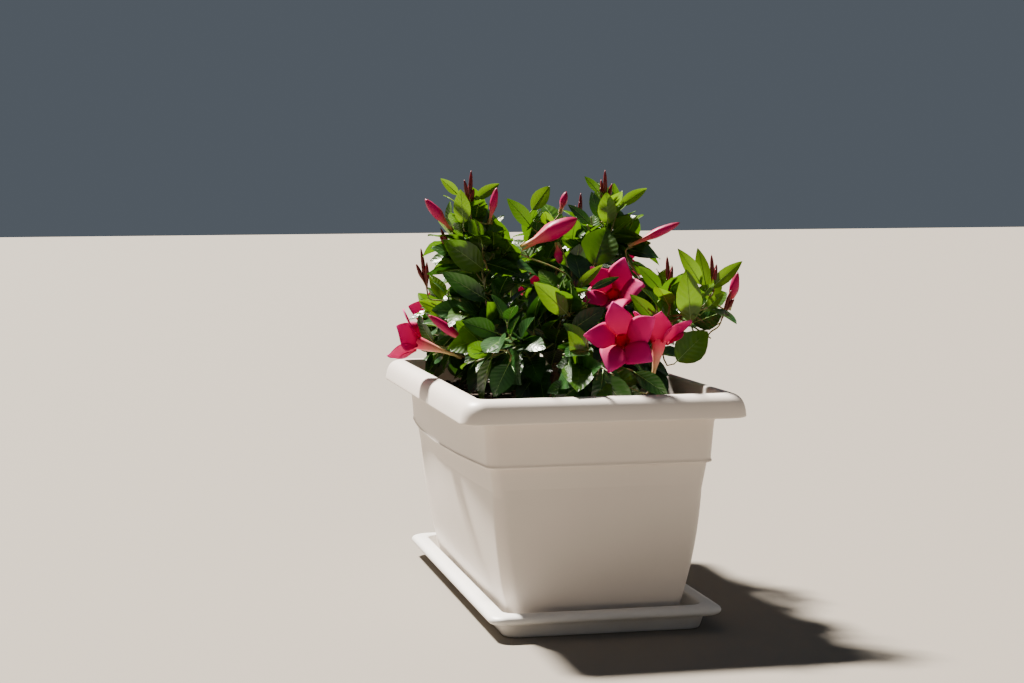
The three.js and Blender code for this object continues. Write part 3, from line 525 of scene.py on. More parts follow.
def grow_blooms():
    """Flowers, swollen buds and sprays of thin buds, each on its stalk."""
    for name, foot, mouth, turn, opened in FLOWERS:
        axis = (mouth - foot).normalized()
        flowers.append((mouth, axis, turn, opened))
        add_stalk(name, mouth - axis * FLOWER_LENGTH, axis, 2)
    for name, foot, tip, girth in BUDS:
        buds.append((foot, tip, BUD_RADIUS * girth, "swollen"))
        add_stalk(name, foot, (tip - foot).normalized(), 3)
    for name, foot, tip in BUD_SPRAYS:
        heading = (tip - foot).normalized()
        add_stalk(name, foot, heading, 1)
        draw = seeded(len(buds))
        for bud in range(3):
            low = foot + heading * 6 * bud
            aim = standing_off(heading, 0.06 + 0.2 * (bud > 0), GOLDEN_ANGLE * bud + draw())
            length = (tip - foot).length * (1, 0.62, 0.5)[bud]
            buds.append((low, low + aim * length, YOUNG_BUD_RADIUS, "young"))
    for mass in masses:
        for shoot in [each for each in mass.shoots if each.kind == "leader"]:
            foot = shoot.path.at(0.96)
            for bud in range(mass.buds + (mass.buds > 0)):
                heading = standing_off(UP, 0.05 if bud == 0 else 0.3, bud * GOLDEN_ANGLE + mass.index)
                length = YOUNG_BUD_LENGTH * (1.15 if bud == 0 else 0.9 - 0.14 * (bud - 1))
                buds.append((foot, foot + heading * length, YOUNG_BUD_RADIUS, "young"))


class Blade:
    """A leaf's place and form: u runs from its foot to its tip and v from edge to edge."""

    def __init__(self, root, heading, toward_tip, length, draw, shade):
        face = toward_tip * 0.7 + UP * 0.5
        face = (face - heading * face.dot(heading)).normalized()
        self.root = root
        self.foot = root + heading * LEAF_STALK
        self.heading = heading
        self.face = face
        self.side = face.cross(heading).normalized()
        self.length = length
        self.width = length * LEAF_RATIO * (0.88 + 0.3 * draw)
        self.arch = 0.06 + 0.16 * ((draw * 7) % 1)
        self.fold = 0.1 + 0.24 * ((draw * 13) % 1)
        self.ripple = draw * FULL_TURN
        self.shade = shade

    def places(self, u, v):
        spread = 0.5 * self.width * np.sin(np.pi * np.clip(u, 0, 1) ** 0.84) ** 0.84
        arch = self.length * self.arch * u * (1 - 1.7 * u)
        lift = arch + self.fold * spread * np.abs(v) ** 1.4
        lift = lift + 0.03 * self.width * np.sin(7 * u + self.ripple) * v
        return (np.array(self.foot) + np.outer(self.length * u, self.heading)
                + np.outer(spread * v, self.side) + np.outer(lift, self.face))


def grow_leading_leaves():
    """The leading leaves, broad side to the front, each on its stalk."""
    for number, (name, foot, tip, ratio, shade) in enumerate(LEADING_LEAVES):
        heading = tip - foot
        length = heading.length
        heading.normalize()
        root = foot - heading * LEAF_STALK
        blade = Blade(root, heading, FRONTWARD, length, (0.37 * number) % 1, shade)
        blade.width = length * ratio
        mass_named(name).hold(blade, blade.places(SAMPLE_U, SAMPLE_V))
        add_stalk(name, root, heading, 1, LEAF_STALK_REACH)


SAMPLE_U, SAMPLE_V = [grid.ravel() for grid in np.meshgrid([0.25, 0.45, 0.6, 0.75, 0.9, 1], [-1, 0, 1])]


def add_leaf(mass, root, tangent, size, open_angle, side, draw, shade):
    """A leaf that is turned, raised and shortened until it fits, or left out."""
    for attempt, turn in enumerate(LEAF_TURNS):
        heading = standing_off(tangent, open_angle * (1 - 0.12 * attempt), side + turn)
        blade = Blade(root, heading, tangent, size * (1 - 0.08 * attempt), draw, shade)
        samples = blade.places(SAMPLE_U, SAMPLE_V)
        if not fits(samples, mass):
            continue
        if len(mass.samples):
            away = np.linalg.norm(samples[:, None, :] - mass.samples[None, :, :], axis=2)
            if away.min() < LEAF_APART:
                continue
        mass.hold(blade, samples)
        return


def grow_leaves(mass):
    """Pairs of leaves along each shoot, each pair square to the last, young and pale at the tips."""
    draw = seeded(mass.index + LEAF_SEED)
    order = sorted(mass.shoots, key=lambda shoot: ("leader", "sprig", "twig").index(shoot.kind))
    for number, shoot in enumerate(order):
        pairs = max(2, round(shoot.path.length / LEAF_SPACING))
        top = shoot.path.at(1).z
        for pair in reversed(range(pairs)):
            along = min((pair + 0.9) / pairs, 0.97)
            root = shoot.path.at(along)
            tangent = shoot.path.tangent(along)
            young = pair / pairs
            at_tip = pair >= pairs - 2
            # Below the young tips, leaves of high shoots and the tips of one shoot in four are painted lit;
            # all other leaves get the dark green, darkened as painted shade.
            if at_tip and shoot.kind == "leader" and top > YOUNG_OVER:
                shade = "young"
            elif at_tip and (top > LIT_TIP_OVER or number % 4 == 1):
                shade = "grown"
            elif shoot.kind == "leader" and top > LIT_LEADER_OVER:
                shade = "grown"
            else:
                shade = "dark"
            crest = shade == "young"
            for opposite in (0, math.pi):
                side = pair * math.pi / 2 + opposite + 0.5 * draw()
                size = LEAF_LENGTH * (0.9 if crest else 1.08 - 0.36 * young * young) * (0.84 + 0.3 * draw())
                open_angle = (0.95, 0.55)[pair - pairs] if crest else 1.3 - 0.62 * young
                add_leaf(mass, root, tangent, size, open_angle, side, draw(), shade)


def grow_bough_leaves(mass):
    """A few dark leaves on the bough below each mass, which shade the potting mix."""
    draw = seeded(mass.index + BOUGH_LEAF_SEED)
    for step in range(5):
        along = 0.3 + 0.15 * step
        root = mass.bough.at(along)
        for opposite in (0, math.pi):
            side = step * math.pi / 2 + opposite + 0.6 * draw()
            size = LEAF_LENGTH * (0.85 + 0.25 * draw())
            # The dark green here is partly painted shade, low in the crown
            add_leaf(mass, root, mass.bough.tangent(along), size, 1.15, side, draw(), "dark")


grow_limbs()
take_bloom_space()
for mass in masses:
    grow_shoots(mass)
grow_blooms()
grow_leading_leaves()
for mass in masses:
    grow_leaves(mass)
    grow_bough_leaves(mass)


# Shapes: small forms made once and laid out many times

def shape_of(bm):
    """A bmesh's corners and faces as arrays, so that it can be repeated."""
    bm.verts.index_update()
    bm.verts.ensure_lookup_table()
    places = np.array([vertex.co for vertex in bm.verts])
    faces = [[vertex.index for vertex in face.verts] for face in bm.faces]
    bm.free()
    return places, faces


def sheet_form(along, across):
    """A flat sheet: x is the share of the length, and y runs from edge to edge."""
    bm = bmesh.new()
    bmesh.ops.create_grid(bm, x_segments=along, y_segments=across, size=1)
    bmesh.ops.transform(bm, matrix=Matrix.Translation((0.5, 0, 0)) @ Matrix.Diagonal((0.5, 1, 1, 1)),
                        verts=bm.verts)
    return shape_of(bm)


def ring_drawn_out(bm, ring):
    """A ring of edges extruded once: the new ring's edges and its corners."""
    grown = bmesh.ops.extrude_edge_only(bm, edges=ring)["geom"]
    corners = {part for part in grown if isinstance(part, bmesh.types.BMVert)}
    edges = [part for part in grown if isinstance(part, bmesh.types.BMEdge)
             and part.verts[0] in corners and part.verts[1] in corners]
    return edges, corners


def tube_form(sides, steps):
    """A closed tube of radius 1 that runs up from 0 to 1."""
    bm = bmesh.new()
    bmesh.ops.create_circle(bm, cap_ends=True, segments=sides, radius=1)
    ring = list(bm.edges)
    for step in range(steps):
        ring, corners = ring_drawn_out(bm, ring)
        bmesh.ops.translate(bm, vec=(0, 0, 1 / steps), verts=list(corners))
    bmesh.ops.edgeloop_fill(bm, edges=ring)
    bmesh.ops.recalc_face_normals(bm, faces=bm.faces)
    return shape_of(bm)


def bent_tube(places, path, radius_at):
    """A tube's corners laid along a path, with a radius for each share of its length and bearing."""
    laid = np.zeros_like(places)
    level = None
    for share in sorted(set(np.round(places[:, 2], 5))):
        rows = np.abs(places[:, 2] - share) < 1e-4
        heading = path.tangent(share)
        if level is None:
            level, steep = across_of(heading)
        else:
            level = (level - heading * level.dot(heading)).normalized()
            steep = level.cross(heading)
        bearing = np.arctan2(places[rows, 1], places[rows, 0])
        radius = np.hypot(places[rows, 0], places[rows, 1]) * radius_at(share, bearing)
        laid[rows] = (np.array(path.at(share)) + np.outer(radius * np.cos(bearing), level)
                      - np.outer(radius * np.sin(bearing), steep))
    return laid


def mesh_from(bm, name):
    mesh = bpy.data.meshes.new(name)
    bm.to_mesh(mesh)
    bm.free()
    return mesh


def put_in_scene(name, data):
    """A new object that holds a mesh, a lamp or a camera."""
    holder = bpy.data.objects.new(name, data)
    bpy.context.scene.collection.objects.link(holder)
    return holder


def as_piece(name, mesh, material, replaced=()):
    """A finished piece: at the origin, smooth, riding on the plant's one body."""
    piece = put_in_scene(name, mesh)
    mesh.materials.append(material)
    mesh.polygons.foreach_set("use_smooth", [True] * len(mesh.polygons))
    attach(piece, "root")
    if replaced:
        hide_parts(*replaced)
    return piece


def along_only(share):
    """A map of u and v for forms that are graded along their length alone."""
    return np.stack([share, np.zeros_like(share)], 1)


def joined_piece(name, form, laid, material, replaced=(), shares=None):
    """Many laid-out copies of one form, joined into one piece; shares gives them a map of u and v."""
    places, faces = form
    count = len(places)
    corners = np.concatenate(laid) * MM
    loops = [[corner + copy * count for corner in face] for copy in range(len(laid)) for face in faces]
    mesh = bpy.data.meshes.new(name)
    mesh.from_pydata(corners.tolist(), [], loops)
    if shares is not None:
        layer = mesh.uv_layers.new(name="along_and_across")
        order = np.array([loop.vertex_index for loop in mesh.loops])
        layer.data.foreach_set("uv", np.tile(shares, (len(laid), 1))[order].ravel())
    return as_piece(name, mesh, material, replaced)


# Finishes

VEIN_SLANT = 0.22
VEIN_WAVES = 50
DUST_HEIGHT = 0.045


class Finish:
    """A material in the making. Its nodes are fed numbers, colours and other nodes' outputs."""

    def __init__(self, name, values):
        self.material = bpy.data.materials.new(name)
        self.material.use_nodes = True
        self.tree = self.material.node_tree
        self.shader = self.tree.nodes["Principled BSDF"]
        self.feed(self.shader, values)

    def feed(self, node, values):
        for socket, value in values.items():
            if isinstance(value, bpy.types.NodeSocket):
                self.tree.links.new(value, node.inputs[socket])
            else:
                node.inputs[socket].default_value = value

    def node(self, kind, output, values=(), **settings):
        """The output of a new node with its settings made and its inputs fed."""
        node = self.tree.nodes.new("ShaderNode" + kind)
        for setting, value in settings.items():
            setattr(node, setting, value)
        self.feed(node, dict(values))
        return node.outputs[output]

    def worked_out(self, operation, *values):
        return self.node("Math", "Value", enumerate(values), operation=operation)

    def noise(self, scale, detail=4, stretch=(1, 1, 1)):
        """Noise on the object's own coordinates, in metres."""
        place = self.node("TexCoord", "Object")
        stretched = self.node("Mapping", "Vector", {"Vector": place, "Scale": stretch})
        return self.node("TexNoise", "Fac", {"Vector": stretched, "Scale": scale, "Detail": detail})

    def own_map(self):
        """The share of the piece's length, and the place from edge to edge, by its own map."""
        both = self.node("UVMap", "UV", uv_map="along_and_across")
        along = self.node("SeparateXYZ", "X", {"Vector": both})
        return along, along.node.outputs["Y"]

    def toned(self, factor, tones, low=0.35, high=0.65):
        """A colour that runs through tones as a factor goes from low to high."""
        colour = self.node("ValToRGB", "Color", {"Fac": factor})
        stops = colour.node.color_ramp.elements
        while len(stops) < len(tones):
            stops.new(0.5)
        for index, tone in enumerate(tones):
            stops[index].position = low + (high - low) * index / (len(tones) - 1)
            stops[index].color = (*tone, 1)
        return colour

    def paint(self, colour):
        self.feed(self.shader, {"Base Color": colour})

    def relieve(self, height, distance, strength=1.0, under=None):
        """A relief on the surface, over another relief if there is one."""
        values = {"Height": height, "Distance": distance, "Strength": strength}
        if under is not None:
            values["Normal"] = under
        relief = self.node("Bump", "Normal", values)
        self.feed(self.shader, {"Normal": relief})
        return relief

    def let_light_through(self, colour, share):
        """Some of the light that falls on the far side comes through."""
        through = self.node("BsdfTranslucent", "BSDF", {"Color": (*colour, 1)})
        mixed = self.node("MixShader", "Shader", {"Fac": share, 1: self.shader.outputs["BSDF"], 2: through})
        output = next(node for node in self.tree.nodes if node.type == "OUTPUT_MATERIAL")
        self.feed(output, {"Surface": mixed})


def leaf_finish(name, tones, roughness, through, share):
    """Glossy leaf skin with sunk side veins."""
    finish = Finish(name, {"Roughness": roughness})
    finish.paint(finish.toned(finish.noise(90), tones))
    along, across = finish.own_map()
    aside = finish.worked_out("ABSOLUTE", across)
    slanted = finish.worked_out("MULTIPLY_ADD", aside, -VEIN_SLANT, along)
    waves = finish.worked_out("MULTIPLY", slanted, VEIN_WAVES)
    quilt = finish.relieve(finish.worked_out("SINE", waves), 0.0001)
    finish.relieve(finish.noise(420), 0.00025, 0.6, quilt)
    finish.let_light_through(through, share)
    return finish.material


def plain_finish(name, tones, roughness, scale, relief, stretch=(1, 1, 1), detail=5):
    """Mottled tones with a fine relief."""
    finish = Finish(name, {"Roughness": roughness})
    mottling = finish.noise(scale, detail, stretch)
    finish.paint(finish.toned(mottling, tones))
    finish.relieve(mottling, relief)
    return finish.material


def graded_finish(name, tones, roughness, through, share):
    """Tones that run from foot to tip by the piece's own map, as on petals and buds."""
    finish = Finish(name, {"Roughness": roughness, "Specular IOR Level": 0.25})
    along, across = finish.own_map()
    uneven = finish.worked_out("MULTIPLY_ADD", finish.noise(160), 0.16, along)
    finish.paint(finish.toned(uneven, tones, 0.08, 1.08))
    finish.relieve(finish.noise(300, 3), 0.0003, 0.5)
    if share:
        finish.let_light_through(through, share)
    return finish.material


def plastic_finish(name, tone, dust):
    """Satin moulded plastic: faint mottling, a fine grain and a little dust low down."""
    finish = Finish(name, {"Roughness": 0.42, "Specular IOR Level": 0.4})
    mottled = finish.toned(finish.noise(9, 5), [tone, tuple(c * 0.955 for c in tone)])
    height = finish.node("SeparateXYZ", "Z", {"Vector": finish.node("TexCoord", "Object")})
    low = finish.node("MapRange", "Result", {"Value": height, "From Min": DUST_HEIGHT, "From Max": 0.0,
                                             "To Min": 0.0, "To Max": 0.5})
    patchy = finish.worked_out("MULTIPLY", low, finish.noise(40, 6))
    finish.paint(finish.node("Mix", "Result", {"Factor": patchy, "A": mottled, "B": (*dust, 1)},
                             data_type="RGBA"))
    grain = finish.relieve(finish.noise(700, 2), 0.00008, 0.7)
    finish.relieve(finish.noise(12, 2), 0.0012, 0.35, grain)
    return finish.material


# Dark skin: the leaf's own deep green, darkened as painted shade. Lit skin: that green painted lit.
DARK_LEAF = leaf_finish("dark_leaf_skin", [(0.008, 0.035, 0.006), (0.018, 0.065, 0.01)], 0.3,
                        (0.05, 0.17, 0.01), 0.1)
LIT_LEAF = leaf_finish("painted_lit_leaf_skin", [(0.022, 0.072, 0.003), (0.042, 0.11, 0.004)], 0.33,
                         (0.1, 0.24, 0.002), 0.24)
YOUNG_LEAF = leaf_finish("young_leaf_skin", [(0.045, 0.115, 0.002), (0.07, 0.16, 0.003)], 0.38,
                         (0.15, 0.29, 0.001), 0.34)
MIDRIB = plain_finish("midrib_green", [(0.16, 0.3, 0.06), (0.26, 0.4, 0.1)], 0.4, 120, 0.0001)
TWIG_BARK = plain_finish("green_twig_bark", [(0.09, 0.14, 0.03), (0.2, 0.16, 0.06)], 0.5, 60, 0.0003)
STEM_BARK = plain_finish("stem_bark", [(0.09, 0.055, 0.03), (0.24, 0.17, 0.1), (0.12, 0.08, 0.05)],
                         0.8, 130, 0.0009, (1, 1, 0.35), 8)
# Petals run from deep red at the foot to pink; the palest pink at the tips is partly painted backlight
PETAL = graded_finish("petal_pink", [(0.42, 0.0, 0.02), (0.55, 0.0, 0.09), (0.55, 0.0, 0.13),
                                     (0.55, 0.0, 0.15), (0.64, 0.02, 0.25)], 0.65, (0.76, 0.0, 0.3), 0.27)
THROAT = graded_finish("throat_red", [(0.2, 0.0, 0.005), (0.26, 0.0, 0.012), (0.5, 0.0, 0.04)],
                       0.5, (0.6, 0.0, 0.12), 0.15)
TUBE = graded_finish("tube_cream", [(0.3, 0.36, 0.1), (0.72, 0.6, 0.26), (0.85, 0.3, 0.24),
                                    (0.88, 0.05, 0.16)], 0.4, (0.9, 0.3, 0.2), 0.2)
BUD_SKIN = graded_finish("bud_pink", [(0.36, 0.3, 0.06), (0.55, 0.11, 0.09), (0.42, 0.0, 0.08),
                                      (0.36, 0.0, 0.08), (0.24, 0.0, 0.04)], 0.42,
                         (0.7, 0.0, 0.3), 0.16)
YOUNG_BUD_SKIN = graded_finish("young_bud_red", [(0.14, 0.07, 0.015), (0.1, 0.012, 0.006),
                                                 (0.1, 0.004, 0.006), (0.12, 0.003, 0.01)], 0.4,
                               (0.5, 0.02, 0.02), 0.0)
CALYX = plain_finish("calyx_green", [(0.12, 0.2, 0.04), (0.25, 0.14, 0.05)], 0.5, 200, 0.0001)
TROUGH_PLASTIC = plastic_finish("trough_plastic", (0.73, 0.66, 0.6), (0.44, 0.35, 0.25))
SAUCER_PLASTIC = plastic_finish("saucer_plastic", (0.78, 0.765, 0.74), (0.5, 0.42, 0.32))
POTTING_MIX = plain_finish("potting_mix", [(0.012, 0.008, 0.005), (0.05, 0.03, 0.018),
                                           (0.09, 0.06, 0.035)], 0.95, 190, 0.003, detail=10)


# Trough and saucer: a ring drawn out to the pot's plan and extruded from level to level

CORNER_STEPS = 9
END_SHARES = (0.04, 0.3, 0.7, 0.96)
SIDE_SHARES = (0.02, 0.15, 0.3, 0.5, 0.7, 0.85, 0.98)


def plan_ring(half, height, corner, bow, longer):
    """One level's ring of places: a rounded oblong whose long sides bow outward."""
    straight_x = half - corner
    straight_y = half + longer - corner
    ring = []
    for quarter, (side_x, side_y) in enumerate([(1, 1), (-1, 1), (-1, -1), (1, -1)]):
        for step in range(CORNER_STEPS + 1):
            angle = (quarter + step / CORNER_STEPS) * math.pi / 2
            ring.append((side_x * straight_x + corner * math.cos(angle),
                         side_y * straight_y + corner * math.sin(angle), height))
        for share in (END_SHARES, SIDE_SHARES)[quarter % 2]:
            along = 1 - 2 * share
            if quarter % 2 == 0:
                ring.append((side_x * along * straight_x, side_y * (half + longer), height))
            else:
                ring.append((side_x * (half + bow * (1 - along * along)), side_y * along * straight_y,
                             height))
    return ring


def moulded(levels):
    """A closed shell from a list of levels: half width, height, corner, bow, and how much longer it is."""
    bm = bmesh.new()
    rings = [plan_ring(*row) for row in levels]
    bmesh.ops.create_circle(bm, segments=len(rings[0]), radius=1)
    bottom = edges = list(bm.edges)
    order = sorted(bm.verts, key=lambda vertex: math.atan2(vertex.co.y, vertex.co.x) % (2 * math.pi))
    for number, ring in enumerate(rings):
        if number:
            edges, corners = ring_drawn_out(bm, edges)
            drawn = {edge.other_vert(corner): corner for corner in corners for edge in corner.link_edges}
            order = [drawn[vertex] for vertex in order]
        for vertex, place in zip(order, ring):
            vertex.co = place
    for loop in (bottom, edges):
        bmesh.ops.edgeloop_fill(bm, edges=loop)
    bmesh.ops.recalc_face_normals(bm, faces=bm.faces)
    bmesh.ops.scale(bm, vec=(MM, MM, MM), verts=bm.verts)
    return bm


def body_half(height):
    drop = COLLAR_LOW - height
    return COLLAR_HALF - COLLAR_STEP - BODY_CURVE * drop * drop


def collar_half(height):
    return COLLAR_HALF + COLLAR_SLOPE * (height - COLLAR_LOW)


def level(half, height, corner=BODY_CORNER, bow=None, longer=LONGER):
    """One ring of a moulding; unless told, its long sides bow outward, less toward the foot."""
    if bow is None:
        bow = SIDE_BOW * min(1, height / COLLAR_LOW)
    return half, height, corner, bow, longer


def rim_level(half, height):
    corner = RIM_CORNER - (RIM_HALF - half) * 0.5
    return level(half, height, max(corner, 6), 0)


def trough_levels():
    foot = body_half(FOOT)
    outside = [(20, FOOT), (foot - 3, FOOT), (foot - 0.8, FOOT + 0.5), (foot, FOOT + 2.5)]
    outside += [(body_half(height), height)
                for height in (12, 40, 70, 100, 130, 155, COLLAR_LOW - 5, COLLAR_LOW - 1.6)]
    outside.append((body_half(COLLAR_LOW) + 0.4, COLLAR_LOW - 0.7))
    bead = [(0.1, -0.6), (1, 0.1), (1.2, 1.2), (0.9, 2.2), (0.2, 2.9)]
    outside += [(COLLAR_HALF + out, COLLAR_LOW + up) for out, up in bead]
    outside += [(collar_half(height), height) for height in (184, 210, RIM_LOW)]
    levels = [level(*point) for point in outside]
    levels += [level(RIM_INNER + 1, RIM_TOP - 8, BODY_CORNER, 3),
               level(RIM_HALF - 12, RIM_TOP - 5, RIM_CORNER - 6, 0),
               level(RIM_HALF - WALL - 2, RIM_TOP - 11, RIM_CORNER - 4, 0),
               level(RIM_HALF - WALL, RIM_LOW + 2, RIM_CORNER - WALL, 0),
               level(RIM_HALF - WALL + 0.4, RIM_LOW + 0.3, RIM_CORNER - WALL, 0)]
    rolled = [(150, 225.2), (150, 227), (149.6, 231), (148.6, 237), (146.6, 242.2), (143.4, 246.2),
              (139, 248.8), (134, 249.9), (130.6, 250), (128.6, 249.4), (127.9, 247.8), (127.6, 245.5)]
    levels += [rim_level(*point) for point in rolled]
    inner_corner = BODY_CORNER - WALL
    levels += [level(collar_half(240) + 1.5, 240, inner_corner, 4),
               level(collar_half(230) - 1.5, 230, inner_corner, 11)]
    inside = [(collar_half(height) - WALL, height) for height in (220, 200, COLLAR_LOW)]
    inside += [(body_half(height) - WALL, height) for height in (130, 90, 50, 12, FOOT + WALL + 1)]
    inside.append((foot - WALL - 4, FOOT + WALL))
    return levels + [level(*point, inner_corner) for point in inside] + [level(20, FOOT + WALL)]


def saucer_levels():
    lip = (SAUCER_HALF + SAUCER_LIP_INNER) / 2
    base, top, floor = SAUCER_BASE_HALF, SAUCER_TOP, SAUCER_FLOOR
    profile = [(20, 0), (base - 2.5, 0), (base - 0.6, 0.4), (base, 1.5), (base + 3, 13.4),
               (base + 3.6, 14.6), (base + 5.5, 15.2), (SAUCER_HALF - 5, 16), (SAUCER_HALF - 1.6, 17.4),
               (SAUCER_HALF - 0.2, 19.4), (SAUCER_HALF, 21.4), (SAUCER_HALF - 0.8, 23.6),
               (SAUCER_HALF - 2.8, 25.4), (SAUCER_HALF - 6, 26.5), (lip + 1, top),
               (SAUCER_LIP_INNER + 3, top - 0.4), (SAUCER_LIP_INNER + 1, top - 1.3),
               (SAUCER_LIP_INNER, top - 3), (SAUCER_LIP_INNER - 2.6, floor + 3.4),
               (SAUCER_LIP_INNER - 3.4, floor + 1), (SAUCER_LIP_INNER - 5, floor), (20, floor)]
    return [level(half, height, SAUCER_CORNER, 0, LONGER + SAUCER_BACK) for half, height in profile]


def moulded_piece(name, levels, material, replaced, shift=(0, 0, 0)):
    bm = moulded(levels)
    bmesh.ops.translate(bm, vec=shift, verts=bm.verts)
    piece = as_piece(name, mesh_from(bm, name), material, replaced)
    rounding = piece.modifiers.new("rounding", "SUBSURF")
    rounding.levels = rounding.render_levels = 1
    return piece


moulded_piece("moulded_trough", trough_levels(), TROUGH_PLASTIC, ("trough",))
moulded_piece("moulded_saucer", saucer_levels(), SAUCER_PLASTIC, ("saucer",),
              (SAUCER_RIGHT * MM, SAUCER_BACK * MM, 0))


# Potting mix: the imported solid, dressed with loose crumbs of peat and bark

mix_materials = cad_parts["potting_mix"].data.materials
mix_materials.clear()
mix_materials.append(POTTING_MIX)

CRUMBS = 900
CRUMBS_HALF_WIDTH = 108
CRUMBS_HALF_LENGTH = 232


def crumb_pieces():
    bm = bmesh.new()
    bmesh.ops.create_icosphere(bm, subdivisions=1, radius=1)
    form = shape_of(bm)
    draw = seeded(CRUMB_SEED)
    laid = []
    for crumb in range(CRUMBS):
        x, y = (2 * draw() - 1) * CRUMBS_HALF_WIDTH, (2 * draw() - 1) * CRUMBS_HALF_LENGTH
        size = 1.2 + 3.4 * draw() ** 3
        stretch = Matrix.Diagonal((size * (1 + draw()), size, size * (0.5 + 0.4 * draw())))
        turn = Matrix.Rotation(FULL_TURN * draw(), 3, "Z") @ Matrix.Rotation(0.8 * draw(), 3, "X")
        rough = form[0] * (0.8 + 0.4 * np.array([draw() for corner in form[0]]))[:, None]
        laid.append(rough @ np.array(turn @ stretch).T + np.array((x, y, MIX_TOP + 0.2 * size)))
    joined_piece("potting_mix_crumbs", form, laid, POTTING_MIX)


crumb_pieces()


# Stems and boughs with their bark's relief

def barked(paths, name, sides, steps, radii, replaced):
    form = tube_form(sides, steps)
    laid = []
    for number, path in enumerate(paths):
        foot_radius, tip_radius, flare = radii

        def radius_at(share, bearing):
            plain = foot_radius + (tip_radius - foot_radius) * share
            swell = 1 + flare * math.exp(-share * 14)
            ridges = 0.05 * np.sin(3 * bearing + 5 * share + number)
            ridges += 0.04 * np.sin(7 * bearing - 9 * share)
            joints = 0.1 * max(0, math.cos(share * path.length / 3.1)) ** 8
            return plain * (swell + ridges + joints)

        laid.append(bent_tube(form[0], path, radius_at))
    joined_piece(name, form, laid, STEM_BARK, replaced)


barked(stem_paths, "barked_stems", 16, 24, (STEM_FOOT_RADIUS, STEM_TIP_RADIUS, 0.5),
       [f"stem_{number + 1}" for number in range(len(STEMS))])
barked(bough_paths, "barked_boughs", 12, 30, (BOUGH_FOOT_RADIUS, BOUGH_TIP_RADIUS, 0.3),
       [f"bough_{mass.name}" for mass in masses])


# Twigs, stalks, leaves and their midribs

mass_nodes = [f"leaves_{mass.name}" for mass in masses]


def twig_piece():
    form = tube_form(6, 10)
    laid = []
    for shoot in [shoot for mass in masses for shoot in mass.shoots]:
        def radius_at(share, bearing):
            plain = shoot.radius + (TWIG_TIP_RADIUS - shoot.radius) * share
            return plain * (1 + 0.3 * max(0, math.cos(share * shoot.path.length / 2.4)) ** 6)

        laid.append(bent_tube(form[0], shoot.path, radius_at))
    joined_piece("green_twigs", form, laid, TWIG_BARK, mass_nodes)


def stalk_piece():
    form = tube_form(6, 7)
    laid = [bent_tube(form[0], path, lambda share, bearing: STALK_RADIUS) for path in stalks]
    joined_piece("flower_stalks", form, laid, CALYX, mass_nodes)


def leaf_pieces():
    form = sheet_form(9, 4)
    along = 0.5 - 0.5 * np.cos(math.pi * form[0][:, 0])
    across = form[0][:, 1]
    shares = np.stack([along, across], 1)
    blades = [leaf for mass in masses for leaf in mass.leaves]
    # The dark and lit skins are one leaf green in painted shade and painted light
    for shade, name, skin in (("dark", "dark_leaves", DARK_LEAF), ("grown", "painted_lit_leaves", LIT_LEAF),
                              ("young", "young_leaves", YOUNG_LEAF)):
        laid = [blade.places(along, across) for blade in blades if blade.shade == shade]
        joined_piece(name, form, laid, skin, mass_nodes, shares)
    rib = tube_form(3, 5)
    reach = rib[0][:, 2]
    on_leaf = reach * 1.08 - 0.16
    radius = 0.75 - 0.55 * reach
    laid = []
    for blade in blades:
        places = blade.places(np.clip(on_leaf, 0, 1), np.zeros_like(reach))
        places[reach * 1.08 < 0.16] = np.array(blade.root)
        places += (np.outer(rib[0][:, 0] * radius, blade.side)
                   + np.outer(rib[0][:, 1] * radius - 0.1, blade.face))
        laid.append(places)
    joined_piece("leaf_midribs", rib, laid, MIDRIB, mass_nodes)


twig_piece()
stalk_piece()
leaf_pieces()


# Flowers and buds

def spun_form(profile, steps):
    """A profile of radius and height spun round the z axis; caps close where the radius is 0."""
    bm = bmesh.new()
    corners = [bm.verts.new((radius, 0, height)) for radius, height in profile]
    lines = [bm.edges.new(pair) for pair in zip(corners, corners[1:])]
    bmesh.ops.spin(bm, geom=corners + lines, cent=(0, 0, 0), axis=(0, 0, 1), angle=2 * math.pi,
                   steps=steps, use_merge=True)
    bmesh.ops.remove_doubles(bm, verts=bm.verts, dist=1e-5)
    bmesh.ops.recalc_face_normals(bm, faces=bm.faces)
    return shape_of(bm)


PETALS = 5
SEPAL_LENGTH = 7
PETAL_LEAN = 0.55
PETAL_OPENS = 0.95
PETAL_TURN = 9
PETAL_STEPS = 40
PETAL_SHARES = (0, 0.12, 0.3, 0.44, 0.56, 0.68, 0.8, 0.9, 0.96, 1)
PETAL_HALVES = (0.3, 0.48, 0.86, 1, 0.92, 0.74, 0.5, 0.28, 0.13, 0.01)


def petal_lean(u, opened):
    """How far a petal leans out of the flower's axis, in radians, from its foot to its tip."""
    return (PETAL_LEAN + PETAL_OPENS * u ** 0.6) * opened


